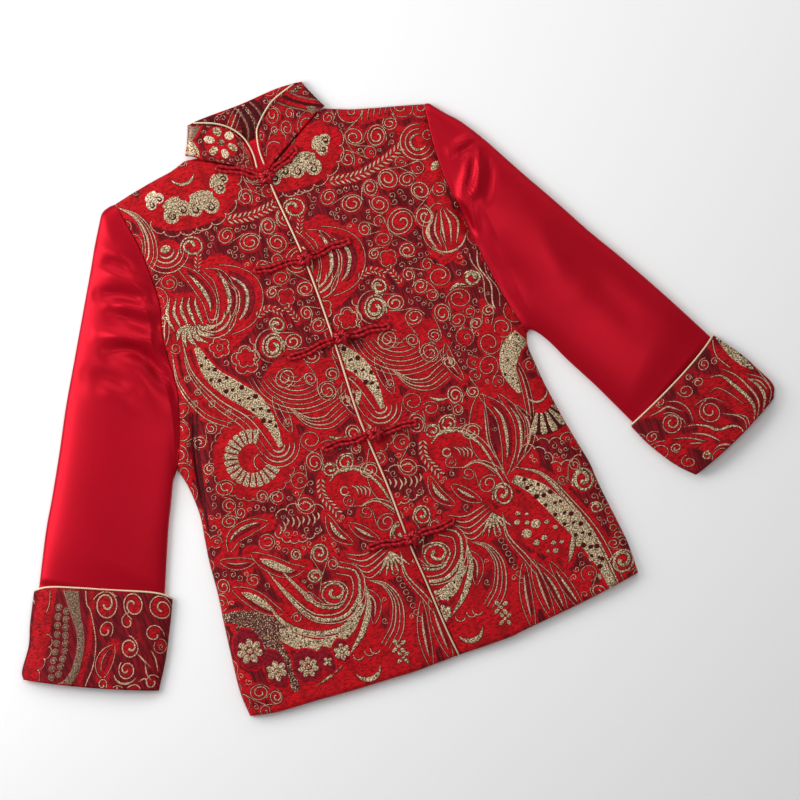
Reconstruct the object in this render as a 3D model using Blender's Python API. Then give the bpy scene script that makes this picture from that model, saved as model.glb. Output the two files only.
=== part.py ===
"""Child's tang jacket with a stand collar, turned-back cuffs and five knotted frogs, laid flat.

The jacket lies on its back on the floor, z = 0. +Y runs from hem to collar and +X to the
wearer's left. The origin is on the underside of the back panel, in the middle of its length.
Tables are in millimetres and functions turn them into metres. Every cloth piece is a wall
between an outer and an inner surface, and neighbouring pieces stand SEAM apart.
"""

import bpy
import numpy as np

MM = 0.001

# Driving sizes, mm
WALL = 3.0            # shell, thin wadding and lining together
COLLAR_WALL = 2.4     # stiffened band
SEAM = 0.4            # space between neighbouring pieces
LAYER = 0.3           # space between layers that lie on each other
AIR = 3.4             # air left between the front and the back where the jacket stands highest
EDGE_ROLL = 16.0      # how far in from a side seam the front rises to its full height
EDGE_ROWS = 1.5       # rows of the grid in which it rises from the hem or a shoulder seam
ARMPIT_ROWS = 2.0     # rows in which its side rises from the side seam to the sleeve
SLEEVE_AIR = 3.4
CROWN_DROP = 0.6      # a sleeve's top is this much lower along its two edges
CUFF_WALL = 4.4       # turned back, so two thicknesses
CUFF_AIR = 3.4
UNDERLAP_WALL = 1.6
UNDERLAP_REACH = (-24.0, 8.0)    # underlap's two edges, measured from the front edge
UNDERLAP_ENDS = (-292.0, 257.0)  # its lower and upper end
LAP_WIDTH = 36.0      # the left front is pressed down this far in from its edge
PIPING_RADIUS = 1.6
CUFF_PROUD = 5.0      # how far the cuff stands out past the sleeve at each side
PIPING_PROUD = 0.3    # the front piping's top over the front
FROG_WIDTH = 7.6      # two cords side by side
FROG_HEIGHT = 4.2
KNOT_SIZE = (15.0, 14.0, 8.4)
KNOT_REACH = 8.0      # a frog's cord comes down from the knot in this distance

BACK_TOP = WALL
FRONT_LOW = BACK_TOP + LAYER + WALL          # front's outer face where it lies on the back
FRONT_HIGH = BACK_TOP + AIR + WALL           # front's outer face at its highest
UNDER_DROP = 1.2                             # the lapped left front lies this much lower
SLEEVE_HIGH = 2 * WALL + SLEEVE_AIR
CUFF_HIGH = 2 * CUFF_WALL + CUFF_AIR

# Outlines, rows of x, y
SIDE_RIGHT = [(-207, -281), (-207.5, -250), (-202, -207), (-195, -165), (-190, -120),
              (-183, -77), (-184, -45), (-188, -25)]
SIDE_LEFT = [(206.5, -284), (207.5, -255), (205, -227), (201, -187), (199, -160),
             (193, -127), (187, -85), (184, -50), (183.5, -32), (187, -21)]
ARMHOLE_RIGHT = [(-188, -25), (-176, 0), (-160, 48), (-155, 101), (-146, 133),
                 (-144, 160), (-145, 200), (-152, 245)]
ARMHOLE_LEFT = [(187, -21), (178, 23), (172, 70), (168, 122), (165, 150),
                (166, 188), (171.5, 229.5)]
SHOULDER_RIGHT = [(-152, 245), (-106, 253), (-73, 259.5)]
SHOULDER_LEFT = [(171.5, 229.5), (124, 243), (92, 253), (77, 259.5)]
NECK_BACK = [(-73, 259.5), (-40, 256), (0, 254.5), (42, 256), (77, 259.5)]
HEM_RIGHT = [(-207, -281), (-175, -287), (-100, -293), (-37, -297), (9.6, -297.5)]
HEM_LEFT = [(9.6, -297.5), (60, -299), (76, -298), (140, -292.5), (206.5, -284)]
FRONT_EDGE = [(9.6, -297.5), (7, -266), (5, -217), (3, -177), (3, -117), (1, -67),
              (0.5, -30), (4, 38), (5.5, 120), (0.5, 200), (1, 220)]

SLEEVE_RIGHT = {
    "outer": [(-152, 245), (-165, 243), (-174, 232), (-198, 193), (-222, 153),
              (-258, 93), (-292, 33), (-327, -27)],
    "inner": [(-188, -25), (-197, -37), (-217, -77)],
}
SLEEVE_LEFT = {
    "outer": [(171.5, 229.5), (179, 226), (189, 213), (205, 193), (227, 153),
              (260, 93), (292, 33), (326, -27)],
    "inner": [(187, -21), (204, -36), (224, -77)],
}
CUFF_RIGHT = {
    "outer": [(-365, -88.5), (-380, -117), (-389, -137), (-404, -158), (-406, -167)],
    "inner": [(-239, -144.5), (-251, -167), (-267, -197), (-284, -224)],
}
CUFF_LEFT = {
    "outer": [(361, -89), (379, -117), (389, -137), (398, -157), (396, -169)],
    "inner": [(250.5, -143.5), (259, -167), (277, -196), (294, -217)],
}

# Collar, from the right front end round the back to the left one.
# Columns: x, y and middle height of the lower edge, then of the upper edge.
COLLAR_SECTIONS = [
    (-10.5, 226.5, 7.0, -8.6, 233, 7.0),
    (-16, 230, 7.0, -7.6, 245, 6.8),
    (-24, 236, 6.9, -10, 258, 6.5),
    (-33, 242, 6.7, -16, 270, 6.2),
    (-43, 248, 6.4, -26, 279.5, 6.0),
    (-54, 254.4, 6.0, -39, 286.8, 5.8),
    (-66, 260.4, 5.6, -50, 291, 5.5),
    (-71.6, 262.6, 4.9, -54.6, 293.2, 4.9),
    (-72.8, 262.9, 3.3, -55.8, 294.0, 3.3),
    (-71.2, 262.6, 1.7, -54.0, 294.8, 1.7),
    (-64, 260.6, 1.2, -48, 296, 1.2),
    (-40, 257.6, 1.2, -30, 297.5, 1.2),
    (0, 255.6, 1.2, 0, 298.4, 1.2),
    (42, 257.6, 1.2, 34, 297.5, 1.2),
    (68, 260.4, 1.2, 56, 295.6, 1.2),
    (75.4, 262.0, 1.7, 61.6, 294.4, 1.7),
    (76.8, 262.3, 3.3, 63.4, 293.6, 3.3),
    (75.4, 262.0, 4.9, 62.0, 292.8, 4.9),
    (69, 259.8, 5.6, 57, 291.8, 5.5),
    (56, 252.8, 6.0, 44, 288.4, 5.8),
    (44, 246.2, 6.4, 29, 281, 6.0),
    (33, 240, 6.7, 16, 271, 6.2),
    (23, 234.4, 6.9, 7.5, 261, 6.5),
    (14, 229.4, 7.0, 4.0, 249, 6.8),
    (6, 225, 7.0, 3.0, 236, 7.0),
]
WING_SECTIONS = 8     # sections from a front end of the collar to its fold
# Piping round the wings, from the front end to the fold: x, y, middle height
WING_PIPING_RIGHT = [(-7, 228, 7.2), (-5.6, 242, 7), (-7.2, 256, 6.7), (-11.6, 267, 6.4),
                     (-20, 277.4, 6.1), (-32, 285.6, 5.9), (-51, 293.4, 5.6)]
WING_PIPING_LEFT = [(1, 229, 7.2), (1.5, 245, 7), (4.6, 259.4, 6.6), (8.4, 267, 6.4),
                    (20.5, 278.6, 6.1), (33.4, 287, 5.9), (57, 294.4, 5.6)]

# Folds: a ridge (+) or trough (-) from x0, y0 to x1, y1, as wide and as high as given
FOLDS = [
    dict(x0=-208, y0=113, x1=-176, y1=103, width=8, height=-2.0),
    dict(x0=-176, y0=103, x1=-162, y1=62, width=8, height=-2.0),
    dict(x0=-189, y0=184, x1=-156, y1=160, width=8, height=-1.6),
    dict(x0=-205, y0=140, x1=-160, y1=128, width=9, height=1.4),
    dict(x0=182, y0=122, x1=202, y1=172, width=8, height=1.6),
    dict(x0=182, y0=178, x1=208, y1=182, width=8, height=1.4),
    dict(x0=-163, y0=0, x1=-172, y1=-58, width=7, height=-1.4),
]

# Frogs, from the neck down: loop end, knot and tail end, each x, y
FROGS = [
    dict(loop=(-44.5, 243.5), knot=(-1, 217), tail=(37, 232)),
    dict(loop=(-45.5, 132.6), knot=(5.6, 127), tail=(54, 129)),
    dict(loop=(-44, 39), knot=(12.5, 41), tail=(61, 35)),
    dict(loop=(-44, -56.5), knot=(9.6, -61), tail=(52, -65)),
    dict(loop=(-37, -165), knot=(7, -171.6), tail=(53, -170.4)),
]

# Mesh fineness
SIDE_ROWS = 9
ARMHOLE_ROWS = 12
SHOULDER_COLUMNS = 3
BACK_HALF_COLUMNS = 5
SLEEVE_ROWS = 13
CUFF_ROWS = 4
COLLAR_ROWS = 4
WING_PIPING_POINTS = 11
FROG_POINTS = 5
UNDERLAP_ROWS = 12
CUFF_PIPING_POINTS = 8


def smooth(points, count, shares=None):
    """Points along a smooth curve through the given ones, spaced evenly or at shares of its length."""
    points = np.array(points, float)
    if len(points) > 2:
        ends = np.vstack([2 * points[0] - points[1], points, 2 * points[-1] - points[-2]])
        t = np.linspace(0, 1, 13)[:-1, None]
        parts = []
        for a, b, c, d in zip(ends, ends[1:], ends[2:], ends[3:]):
            parts.append(0.5 * (2 * b + (c - a) * t + (2 * a - 5 * b + 4 * c - d) * t ** 2
                                + (3 * b - a - 3 * c + d) * t ** 3))
        points = np.vstack(parts + [points[-1:]])
    length = np.r_[0, np.cumsum(np.linalg.norm(np.diff(points, axis=0), axis=1))]
    at = length[-1] * (np.linspace(0, 1, count) if shares is None else shares)
    return np.stack([np.interp(at, length, points[:, k]) for k in range(points.shape[1])], 1)


def patch(low, high, start, end, shares=None):
    """Grid that fills the space between four curves: rows from low to high, columns from start to end."""
    u = (np.linspace(0, 1, len(low)) if shares is None else shares)[None, :, None]
    v = np.linspace(0, 1, len(start))[:, None, None]
    ruled = (1 - v) * low[None] + v * high[None] + (1 - u) * start[:, None] + u * end[:, None]
    corners = ((1 - u) * (1 - v) * low[0] + u * (1 - v) * low[-1]
               + (1 - u) * v * high[0] + u * v * high[-1])
    return ruled - corners


def ease(t):
    t = np.clip(t, 0, 1)
    return t * t * (3 - 2 * t)


def fold_height(xy):
    """Height that the folds add at each point, falling off as a bell from each fold's line."""
    total = np.zeros(xy.shape[:-1])
    for fold in FOLDS:
        start = np.array([fold["x0"], fold["y0"]], float)
        run = np.array([fold["x1"], fold["y1"]], float) - start
        along = np.clip(((xy - start) @ run) / (run @ run), 0, 1)
        away = np.linalg.norm(xy - start - along[..., None] * run, axis=-1)
        total += fold["height"] * np.exp(-(away / fold["width"]) ** 2)
    return total


def material(name, colour, roughness):
    made = bpy.data.materials.get(name) or bpy.data.materials.new(name)
    made.use_nodes = True
    shader = made.node_tree.nodes["Principled BSDF"]
    shader.inputs["Base Color"].default_value = (*colour, 1)
    shader.inputs["Roughness"].default_value = roughness
    made.diffuse_color = (*colour, 1)
    return made


def brocade():
    return material("brocade", (0.36, 0.014, 0.032), 0.62)


def satin():
    return material("satin", (0.48, 0.01, 0.028), 0.34)


def gold_piping():
    return material("gold_piping", (0.72, 0.55, 0.34), 0.4)


def frog_cord():
    return material("frog_cord", (0.34, 0.006, 0.02), 0.4)


def add_mesh(name, points, faces, finish):
    mesh = bpy.data.meshes.new(name)
    mesh.from_pydata((np.asarray(points) * MM).tolist(), [], faces)
    mesh.materials.append(finish)
    mesh.shade_smooth()
    mesh.set_sharp_from_angle(angle=np.radians(50))
    made = bpy.data.objects.new(name, mesh)
    bpy.context.scene.collection.objects.link(made)
    return made


def add_wall(name, outer, inner, finish):
    """Closed wall between two grids of the same shape, the outer one above or outside."""
    rows, columns = outer.shape[:2]
    index = np.arange(rows * columns).reshape(rows, columns)
    below = index + rows * columns
    faces = []
    for r in range(rows - 1):
        for c in range(columns - 1):
            faces.append((index[r, c], index[r, c + 1], index[r + 1, c + 1], index[r + 1, c]))
            faces.append((below[r, c], below[r + 1, c], below[r + 1, c + 1], below[r, c + 1]))
    rim = np.r_[index[0, :-1], index[:-1, -1], index[-1, :0:-1], index[:0:-1, 0]]
    for a, b in zip(rim, np.roll(rim, -1)):
        faces.append((b, a, a + rows * columns, b + rows * columns))
    points = np.vstack([outer.reshape(-1, 3), inner.reshape(-1, 3)])
    return add_mesh(name, points, [tuple(int(i) for i in f) for f in faces], finish)


def add_sleeve_wall(name, outer, inner, finish):
    """Closed wall of a tube: rings of points outside and inside, joined at both open ends."""
    rows, around = outer.shape[:2]
    index = np.arange(rows * around).reshape(rows, around)
    below = index + rows * around
    faces = []
    for c in range(around):
        d = (c + 1) % around
        for r in range(rows - 1):
            faces.append((index[r, c], index[r, d], index[r + 1, d], index[r + 1, c]))
            faces.append((below[r, c], below[r + 1, c], below[r + 1, d], below[r, d]))
        faces.append((index[0, d], index[0, c], below[0, c], below[0, d]))
        faces.append((index[-1, c], index[-1, d], below[-1, d], below[-1, c]))
    points = np.vstack([outer.reshape(-1, 3), inner.reshape(-1, 3)])
    return add_mesh(name, points, [tuple(int(i) for i in f) for f in faces], finish)


def add_cord(name, path, radius, finish, closed=False, flatten=1.0):
    """Round cord along a path, its ends capped; flatten below 1 presses it down."""
    curve = bpy.data.curves.new(name, "CURVE")
    curve.dimensions = "3D"
    curve.bevel_depth = radius * MM
    curve.bevel_resolution = 2
    curve.use_fill_caps = not closed
    spline = curve.splines.new("POLY")
    spline.points.add(len(path) - 1)
    spline.use_cyclic_u = closed
    for point, place in zip(spline.points, path):
        point.co = (place[0] * MM, place[1] * MM, place[2] * MM / flatten, 1)
    curve.materials.append(finish)
    made = bpy.data.objects.new(name, curve)
    made.scale.z = flatten
    bpy.context.scene.collection.objects.link(made)
    return made


def edge_x(y):
    """x of the right front's edge at a height y."""
    line = smooth(FRONT_EDGE, 60)
    return np.interp(y, line[:, 1], line[:, 0])


def neck_line(sections):
    """Front neck seam of one side, from the side of the neck in, just below the collar."""
    line = np.array(sections, float)[::-1, :2]
    run = np.gradient(line, axis=0)
    down = np.stack([run[:, 1], -run[:, 0]], 1)
    down *= -np.sign(down[:, 1:]) / np.linalg.norm(run, axis=1, keepdims=True)
    return line + down * SEAM


def body_edge(side, armhole):
    """Points up a side seam and then up the armhole, the same ones that the sleeve starts from."""
    return np.vstack([smooth(side, SIDE_ROWS + 1)[:-1], smooth(armhole, ARMHOLE_ROWS + 1)])


def lap_drop(from_edge, drop):
    """How much lower a front lies near its edge, fading out a lap's width away."""
    return drop * ease(1.5 - from_edge / LAP_WIDTH)


def front_height(grid, drop):
    """Height of the front's outer face: down at side seam, hem and shoulder, up on the underlap."""
    rows, columns = grid.shape[:2]
    row = np.arange(rows)[:, None]
    from_side = np.linalg.norm(grid - grid[:, :1], axis=-1)
    from_edge = np.abs(grid[..., 0] - edge_x(grid[..., 1]))
    on_underlap = ease(2 - from_edge / LAP_WIDTH)
    sewn_to_sleeve = ease((row - SIDE_ROWS) / ARMPIT_ROWS)
    side = np.maximum(ease(from_side / EDGE_ROLL), sewn_to_sleeve)
    hem = np.maximum(ease(row / EDGE_ROWS), on_underlap)
    shoulder = np.maximum(ease((rows - 1 - row) / EDGE_ROWS), on_underlap)
    rise = FRONT_HIGH - FRONT_LOW + fold_height(grid) - lap_drop(from_edge, drop)
    return FRONT_LOW + rise * side * hem * shoulder


def add_front(name, side, armhole, shoulder, sections, hem, edge_shift, drop, outward):
    """Front panel between side seam, hem, front edge, neck seam and shoulder."""
    start = body_edge(side, armhole)
    edge = smooth(FRONT_EDGE, len(start)) + (edge_shift, 0)
    neck = neck_line(sections)
    shoulder = smooth(shoulder[:-1] + [tuple(neck[0])], SHOULDER_COLUMNS + 1)
    top = np.vstack([shoulder[:-1], neck, edge[-1:]])
    run = np.r_[0, np.cumsum(np.linalg.norm(np.diff(top, axis=0), axis=1))]
    shares = run / run[-1]
    low = smooth(hem, len(top), shares)
    low[-1] = edge[0]
    grid = patch(low, top, start, edge, shares)
    height = front_height(grid, drop)
    outer = np.dstack([grid, height])
    inner = np.dstack([grid, np.maximum(height - WALL, BACK_TOP + LAYER)])
    if outward < 0:
        outer, inner = outer[:, ::-1], inner[:, ::-1]
    return add_wall(name, outer, inner, brocade())


def add_back():
    """Back panel, flat on the floor, between both side seams, the hem, the neck and the shoulders."""
    start = body_edge(SIDE_RIGHT, ARMHOLE_RIGHT)
    end = body_edge(SIDE_LEFT, ARMHOLE_LEFT)
    low = np.vstack([smooth(HEM_RIGHT, BACK_HALF_COLUMNS + 1)[:-1],
                     smooth(HEM_LEFT, BACK_HALF_COLUMNS + 1)])
    neck_columns = 2 * (BACK_HALF_COLUMNS - SHOULDER_COLUMNS)
    top = np.vstack([smooth(SHOULDER_RIGHT, SHOULDER_COLUMNS + 1)[:-1],
                     smooth(NECK_BACK, neck_columns + 1)[:-1],
                     smooth(SHOULDER_LEFT[::-1], SHOULDER_COLUMNS + 1)])
    grid = patch(low, top, start, end)
    flat = np.zeros(grid.shape[:2])
    return add_wall("back_panel", np.dstack([grid, flat + BACK_TOP]), np.dstack([grid, flat]),
                    brocade())


def tube_rings(grid, high, wall):
    """Outer and inner rings of a flattened tube whose outline and middle follow a flat grid.

    Each ring runs over the top from the first column to the last and back underneath, with
    half-round edges. The underside is flat on the floor.
    """
    columns = grid.shape[1]
    folds = fold_height(grid)

    def ring(inset, low, top):
        width = np.linalg.norm(grid[:, -1] - grid[:, 0], axis=1)[:, None, None]
        across = (grid[:, -1:] - grid[:, :1]) / width
        middle, radius = (low + top) / 2, (top - low) / 2
        first = grid[:, :1] + across * inset
        last = grid[:, -1:] - across * inset
        bend = radius * np.sqrt(0.5)
        near = radius - bend
        over = grid[:, 1:-1]
        crown = np.sin(np.linspace(0, np.pi, columns))[None, 1:-1] ** 0.5
        top_z = top - CROWN_DROP * (1 - crown) + folds[:, 1:-1]
        flat_z = np.full((len(grid), columns - 2), low)

        def level(points, z):
            return np.dstack([points, np.full(points.shape[:2], z)])

        return np.concatenate([
            level(first, middle),
            level(first + across * near, middle + bend),
            np.dstack([over, top_z]),
            level(last - across * near, middle + bend),
            level(last, middle),
            level(last - across * near, middle - bend),
            np.dstack([over, flat_z])[:, ::-1],
            level(first + across * near, middle - bend),
        ], axis=1)

    return ring(0, 0, high), ring(wall, wall, high - wall)


def above_cuff(cuff, inset, distance):
    """The cuff's top line moved up the arm, and shortened by an inset at both ends."""
    outer, inner = np.array(cuff["outer"][0], float), np.array(cuff["inner"][0], float)
    across = (inner - outer) / np.linalg.norm(inner - outer)
    up = np.array([-across[1], across[0]])
    up *= np.sign(up[1])
    return outer + across * inset + up * distance, inner - across * inset + up * distance


def add_sleeve(name, armhole, outline, cuff, outward):
    """Flattened sleeve from its armhole seam to the cuff's piping."""
    start = smooth(armhole, ARMHOLE_ROWS + 1)[::-1] + (outward * SEAM, 0)
    outer_end, inner_end = above_cuff(cuff, CUFF_PROUD, 2 * (PIPING_RADIUS + LAYER))
    outer_edge = smooth(outline["outer"] + [outer_end], SLEEVE_ROWS + 1)
    inner_edge = smooth(outline["inner"] + [inner_end], SLEEVE_ROWS + 1)
    outer_edge[0], inner_edge[0] = start[0], start[-1]
    end = np.linspace(outer_edge[-1], inner_edge[-1], len(start))
    outer, inner = tube_rings(patch(start, end, outer_edge, inner_edge), SLEEVE_HIGH, WALL)
    if outward < 0:
        outer, inner = outer[:, ::-1], inner[:, ::-1]
    return add_sleeve_wall(name, outer, inner, satin())


def add_cuff(name, outline, outward):
    """Turned-back cuff, a double band that stands proud of the sleeve."""
    outer_edge = smooth(outline["outer"], CUFF_ROWS + 1)
    inner_edge = smooth(outline["inner"], CUFF_ROWS + 1)
    columns = ARMHOLE_ROWS + 1
    start = np.linspace(outer_edge[0], inner_edge[0], columns)
    end = np.linspace(outer_edge[-1], inner_edge[-1], columns)
    outer, inner = tube_rings(patch(start, end, outer_edge, inner_edge), CUFF_HIGH, CUFF_WALL)
    if outward < 0:
        outer, inner = outer[:, ::-1], inner[:, ::-1]
    return add_sleeve_wall(name, outer, inner, brocade())


def add_cuff_piping(name, cuff):
    """Piping in the seam between sleeve and cuff, a flattened ring round the arm."""
    a, b = above_cuff(cuff, PIPING_RADIUS, PIPING_RADIUS + LAYER)
    across = (b - a) / np.linalg.norm(b - a)
    high, low = CUFF_HIGH - PIPING_RADIUS, PIPING_RADIUS
    step = (high - low) / 2
    top = np.linspace(a + across * step, b - across * step, CUFF_PIPING_POINTS)
    ring = [(*a, (high + low) / 2)] + [(*p, high) for p in top]
    ring += [(*b, (high + low) / 2)] + [(*p, low) for p in top[::-1]]
    return add_cord(name, ring, PIPING_RADIUS, gold_piping(), closed=True)


def add_collar():
    """Stand collar: a band folded flat at both sides of the neck, its open end at the front."""
    table = np.array(COLLAR_SECTIONS, float)
    low, high = table[:, :3], table[:, 3:]
    v = np.linspace(0, 1, COLLAR_ROWS + 1)[:, None, None]
    middle = (1 - v) * low[None] + v * high[None]
    along = np.gradient(middle, axis=1)
    up = np.gradient(middle, axis=0)
    normal = np.cross(along, up)
    normal /= np.linalg.norm(normal, axis=-1, keepdims=True)
    half = COLLAR_WALL / 2
    outer, inner = middle + normal * half, middle - normal * half
    inner[..., 2] = np.maximum(inner[..., 2], 0)
    outer[..., 2] = np.maximum(outer[..., 2], 0)
    return add_wall("collar", outer, inner, brocade())


def add_underlap():
    """Plain satin strip inside the front edge, on the back panel and under both fronts."""
    y = np.linspace(*UNDERLAP_ENDS, UNDERLAP_ROWS)
    low, high = edge_x(y) + UNDERLAP_REACH[0], edge_x(y) + UNDERLAP_REACH[1]
    z = BACK_TOP + LAYER

    def face(height):
        return np.stack([np.stack([x, y, np.full(len(y), height)], 1) for x in (low, high)], 1)

    return add_wall("underlap", face(z + UNDERLAP_WALL), face(z), satin())


def add_piping():
    """Piping along the right front's edge and round both wings of the collar."""
    edge = smooth(FRONT_EDGE, SIDE_ROWS + ARMHOLE_ROWS + 1)
    height = np.full(len(edge), FRONT_HIGH + PIPING_PROUD - PIPING_RADIUS)
    add_cord("front_piping", np.column_stack([edge, height]), PIPING_RADIUS, gold_piping())
    for name, line in (("collar_piping_right", WING_PIPING_RIGHT),
                       ("collar_piping_left", WING_PIPING_LEFT)):
        add_cord(name, smooth(line, WING_PIPING_POINTS), PIPING_RADIUS, gold_piping())


def add_knot(name, place, low):
    """Ball knot, a pressed ball that stands on the piping."""
    bpy.ops.mesh.primitive_uv_sphere_add(segments=12, ring_count=8, radius=0.5 * MM)
    made = bpy.context.object
    made.name = made.data.name = name
    made.scale = KNOT_SIZE
    made.location = (place[0] * MM, place[1] * MM, (low + KNOT_SIZE[2] / 2) * MM)
    made.data.materials.append(frog_cord())
    made.data.shade_smooth()
    return made


def add_frog_half(name, end, knot, drop):
    """Doubled cord from its outer end to the knot, lying on the front."""
    end, knot = np.array(end, float), np.array(knot, float)
    run = (knot - end) / np.linalg.norm(knot - end)
    stop = knot - run * (KNOT_SIZE[0] / 2 + SEAM)
    line = np.linspace(end, stop, FROG_POINTS)
    from_edge = np.abs(line[:, 0] - edge_x(line[:, 1]))
    over_piping = FRONT_HIGH + PIPING_PROUD
    near_piping = ease(1.6 - from_edge / KNOT_REACH)
    under = np.maximum(FRONT_HIGH - lap_drop(from_edge, drop), over_piping * near_piping)
    path = np.column_stack([line, under + SEAM + FROG_HEIGHT / 2])
    return add_cord(name, path, FROG_WIDTH / 2, frog_cord(), flatten=FROG_HEIGHT / FROG_WIDTH)


def add_frogs():
    for number, frog in enumerate(FROGS, 1):
        add_frog_half(f"frog_{number}_loop", frog["loop"], frog["knot"], 0.0)
        add_frog_half(f"frog_{number}_tail", frog["tail"], frog["knot"], UNDER_DROP)
        add_knot(f"frog_{number}_knot", frog["knot"], FRONT_HIGH + PIPING_PROUD + LAYER)


def main():
    for old in list(bpy.data.objects):
        bpy.data.objects.remove(old)
    add_back()
    add_front("front_right", SIDE_RIGHT, ARMHOLE_RIGHT, SHOULDER_RIGHT,
              COLLAR_SECTIONS[:WING_SECTIONS], HEM_RIGHT, -PIPING_RADIUS - LAYER, 0.0, 1)
    add_front("front_left", SIDE_LEFT, ARMHOLE_LEFT, SHOULDER_LEFT,
              COLLAR_SECTIONS[:-WING_SECTIONS - 1:-1], HEM_LEFT[::-1], PIPING_RADIUS + LAYER,
              UNDER_DROP, -1)
    add_sleeve("sleeve_right", ARMHOLE_RIGHT, SLEEVE_RIGHT, CUFF_RIGHT, -1)
    add_sleeve("sleeve_left", ARMHOLE_LEFT, SLEEVE_LEFT, CUFF_LEFT, 1)
    add_cuff("cuff_right", CUFF_RIGHT, -1)
    add_cuff("cuff_left", CUFF_LEFT, 1)
    add_cuff_piping("cuff_piping_right", CUFF_RIGHT)
    add_cuff_piping("cuff_piping_left", CUFF_LEFT)
    add_collar()
    add_underlap()
    add_piping()
    add_frogs()


main()
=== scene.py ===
import bpy
import numpy as np
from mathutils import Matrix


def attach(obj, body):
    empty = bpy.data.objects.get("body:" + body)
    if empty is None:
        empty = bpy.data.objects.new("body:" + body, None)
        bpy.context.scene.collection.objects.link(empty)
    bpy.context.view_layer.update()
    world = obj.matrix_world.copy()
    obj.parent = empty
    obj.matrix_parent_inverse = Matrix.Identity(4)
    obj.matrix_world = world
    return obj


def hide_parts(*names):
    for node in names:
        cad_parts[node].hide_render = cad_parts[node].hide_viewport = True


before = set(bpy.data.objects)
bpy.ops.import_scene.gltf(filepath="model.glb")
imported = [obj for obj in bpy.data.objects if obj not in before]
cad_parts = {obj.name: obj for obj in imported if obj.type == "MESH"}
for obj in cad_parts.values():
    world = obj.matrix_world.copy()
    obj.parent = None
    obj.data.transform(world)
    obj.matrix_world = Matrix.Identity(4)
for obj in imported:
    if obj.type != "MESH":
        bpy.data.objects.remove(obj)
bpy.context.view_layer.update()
mm = 0.001
print("frame loaded:", len(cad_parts), "nodes")

# seams and edges of the body, rows of x, y; the front edge also serves the piping and the frogs
outline = {
    "sideRight": [(-207, -281), (-208, -262), (-207, -245), (-203, -215), (-199, -187), (-194, -155),
                  (-191, -125), (-187, -100), (-183, -77), (-183, -55), (-184.5, -40), (-188, -25)],
    "sideLeft": [(206.5, -284), (207.5, -255), (206, -235), (203, -207), (201, -187), (200, -165),
                 (196, -142), (192, -120), (188, -92), (185.5, -72), (184, -50), (183.5, -32), (187, -21)],
    "armholeRight": [(-188, -25), (-176, 0), (-160, 48), (-155, 101), (-146, 133),
                     (-144, 160), (-145, 200), (-152, 245)],
    "armholeLeft": [(187, -21), (178, 23), (172, 70), (168, 122), (165, 150), (166, 188), (171.5, 229.5)],
    "shoulderRight": [(-152, 245), (-130, 249.5), (-106, 253.5), (-88, 256), (-72.2, 260.8)],
    "shoulderLeft": [(171.5, 229.5), (150, 236), (124, 243.5), (100, 251), (77, 260.6)],
    "neckRight": [(-72.2, 260.8), (-66, 259), (-54, 253.6), (-43, 247.4), (-33, 241.4), (-24, 235.4),
                  (-10.5, 226), (-1, 220.5)],
    "neckLeft": [(77, 260.6), (69, 258.6), (56, 252.2), (44, 245.6), (33, 239.4), (23, 233.8),
                 (14, 228.8), (6, 224), (3, 220.5)],
    "neckBack": [(-72.2, 260.8), (-40, 256.6), (0, 254.8), (42, 256.6), (77, 260.6)],
    "hemRight": [(-207, -281), (-190, -285), (-175, -287.5), (-140, -290), (-100, -293.5), (-60, -296),
                 (-37, -297.6), (9.6, -297.5)],
    "hemLeft": [(9.6, -297.5), (40, -298.6), (66, -299), (78, -297.6), (110, -295), (140, -292.5),
                (175, -288.5), (206.5, -284)],
    "frontEdge": [(9.6, -297.5), (7, -266), (5, -217), (3, -177), (3, -117), (1, -67), (0.5, -30),
                  (4, 38), (5.5, 120), (0.5, 200), (1, 220)],
}


# curves and grids
def throughPoints(points, steps):
    # Catmull-Rom curve through the points, with so many steps between each pair
    points = np.array(points, float)
    ends = np.vstack([2 * points[0] - points[1], points, 2 * points[-1] - points[-2]])
    t = np.linspace(0, 1, steps + 1)[:-1, None]
    parts = [0.5 * (2 * b + (c - a) * t + (2 * a - 5 * b + 4 * c - d) * t ** 2
                    + (3 * b - a - 3 * c + d) * t ** 3)
             for a, b, c, d in zip(ends, ends[1:], ends[2:], ends[3:])]
    return np.vstack(parts + [points[-1:]])


def stepLengths(line):
    # distance from each point of a line to the next
    return np.linalg.norm(np.diff(line, axis=0), axis=1)


def travelled(line):
    # distance from the start to every point of a line
    return np.r_[0, np.cumsum(stepLengths(line))]


def smoothLine(points, places):
    # curve through the points, read at so many even places or at an array of shares of its length
    points = throughPoints(points, 16) if len(points) > 2 else np.array(points, float)
    shares = np.linspace(0, 1, places) if np.ndim(places) == 0 else places
    length = travelled(points)
    return np.stack([np.interp(length[-1] * shares, length, column) for column in points.T], 1)


def joined(*curves):
    # curves end to end, each given as its points and its count; a shared end is kept once
    lines = [smoothLine(points, count) for points, count in curves]
    return np.vstack([line[:-1] for line in lines[:-1]] + lines[-1:])


def lengthOf(points, count=40):
    # length of the smooth curve through the points
    return stepLengths(smoothLine(points, count)).sum()


def heading(angle):
    # unit vector at an angle
    return np.array([np.cos(angle), np.sin(angle)])


def unit(vectors):
    # the same directions with length 1
    return vectors / np.maximum(np.linalg.norm(vectors, axis=-1, keepdims=True), 1e-6)


def leftOf(run):
    # unit vectors a quarter turn to the left of each run
    return unit(np.stack([-run[:, 1], run[:, 0]], 1))


def bell(distance, middle, half):
    # bell curve, 1 at the middle and 1 / e at its half width
    return np.exp(-((distance - middle) / half) ** 2)


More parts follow.
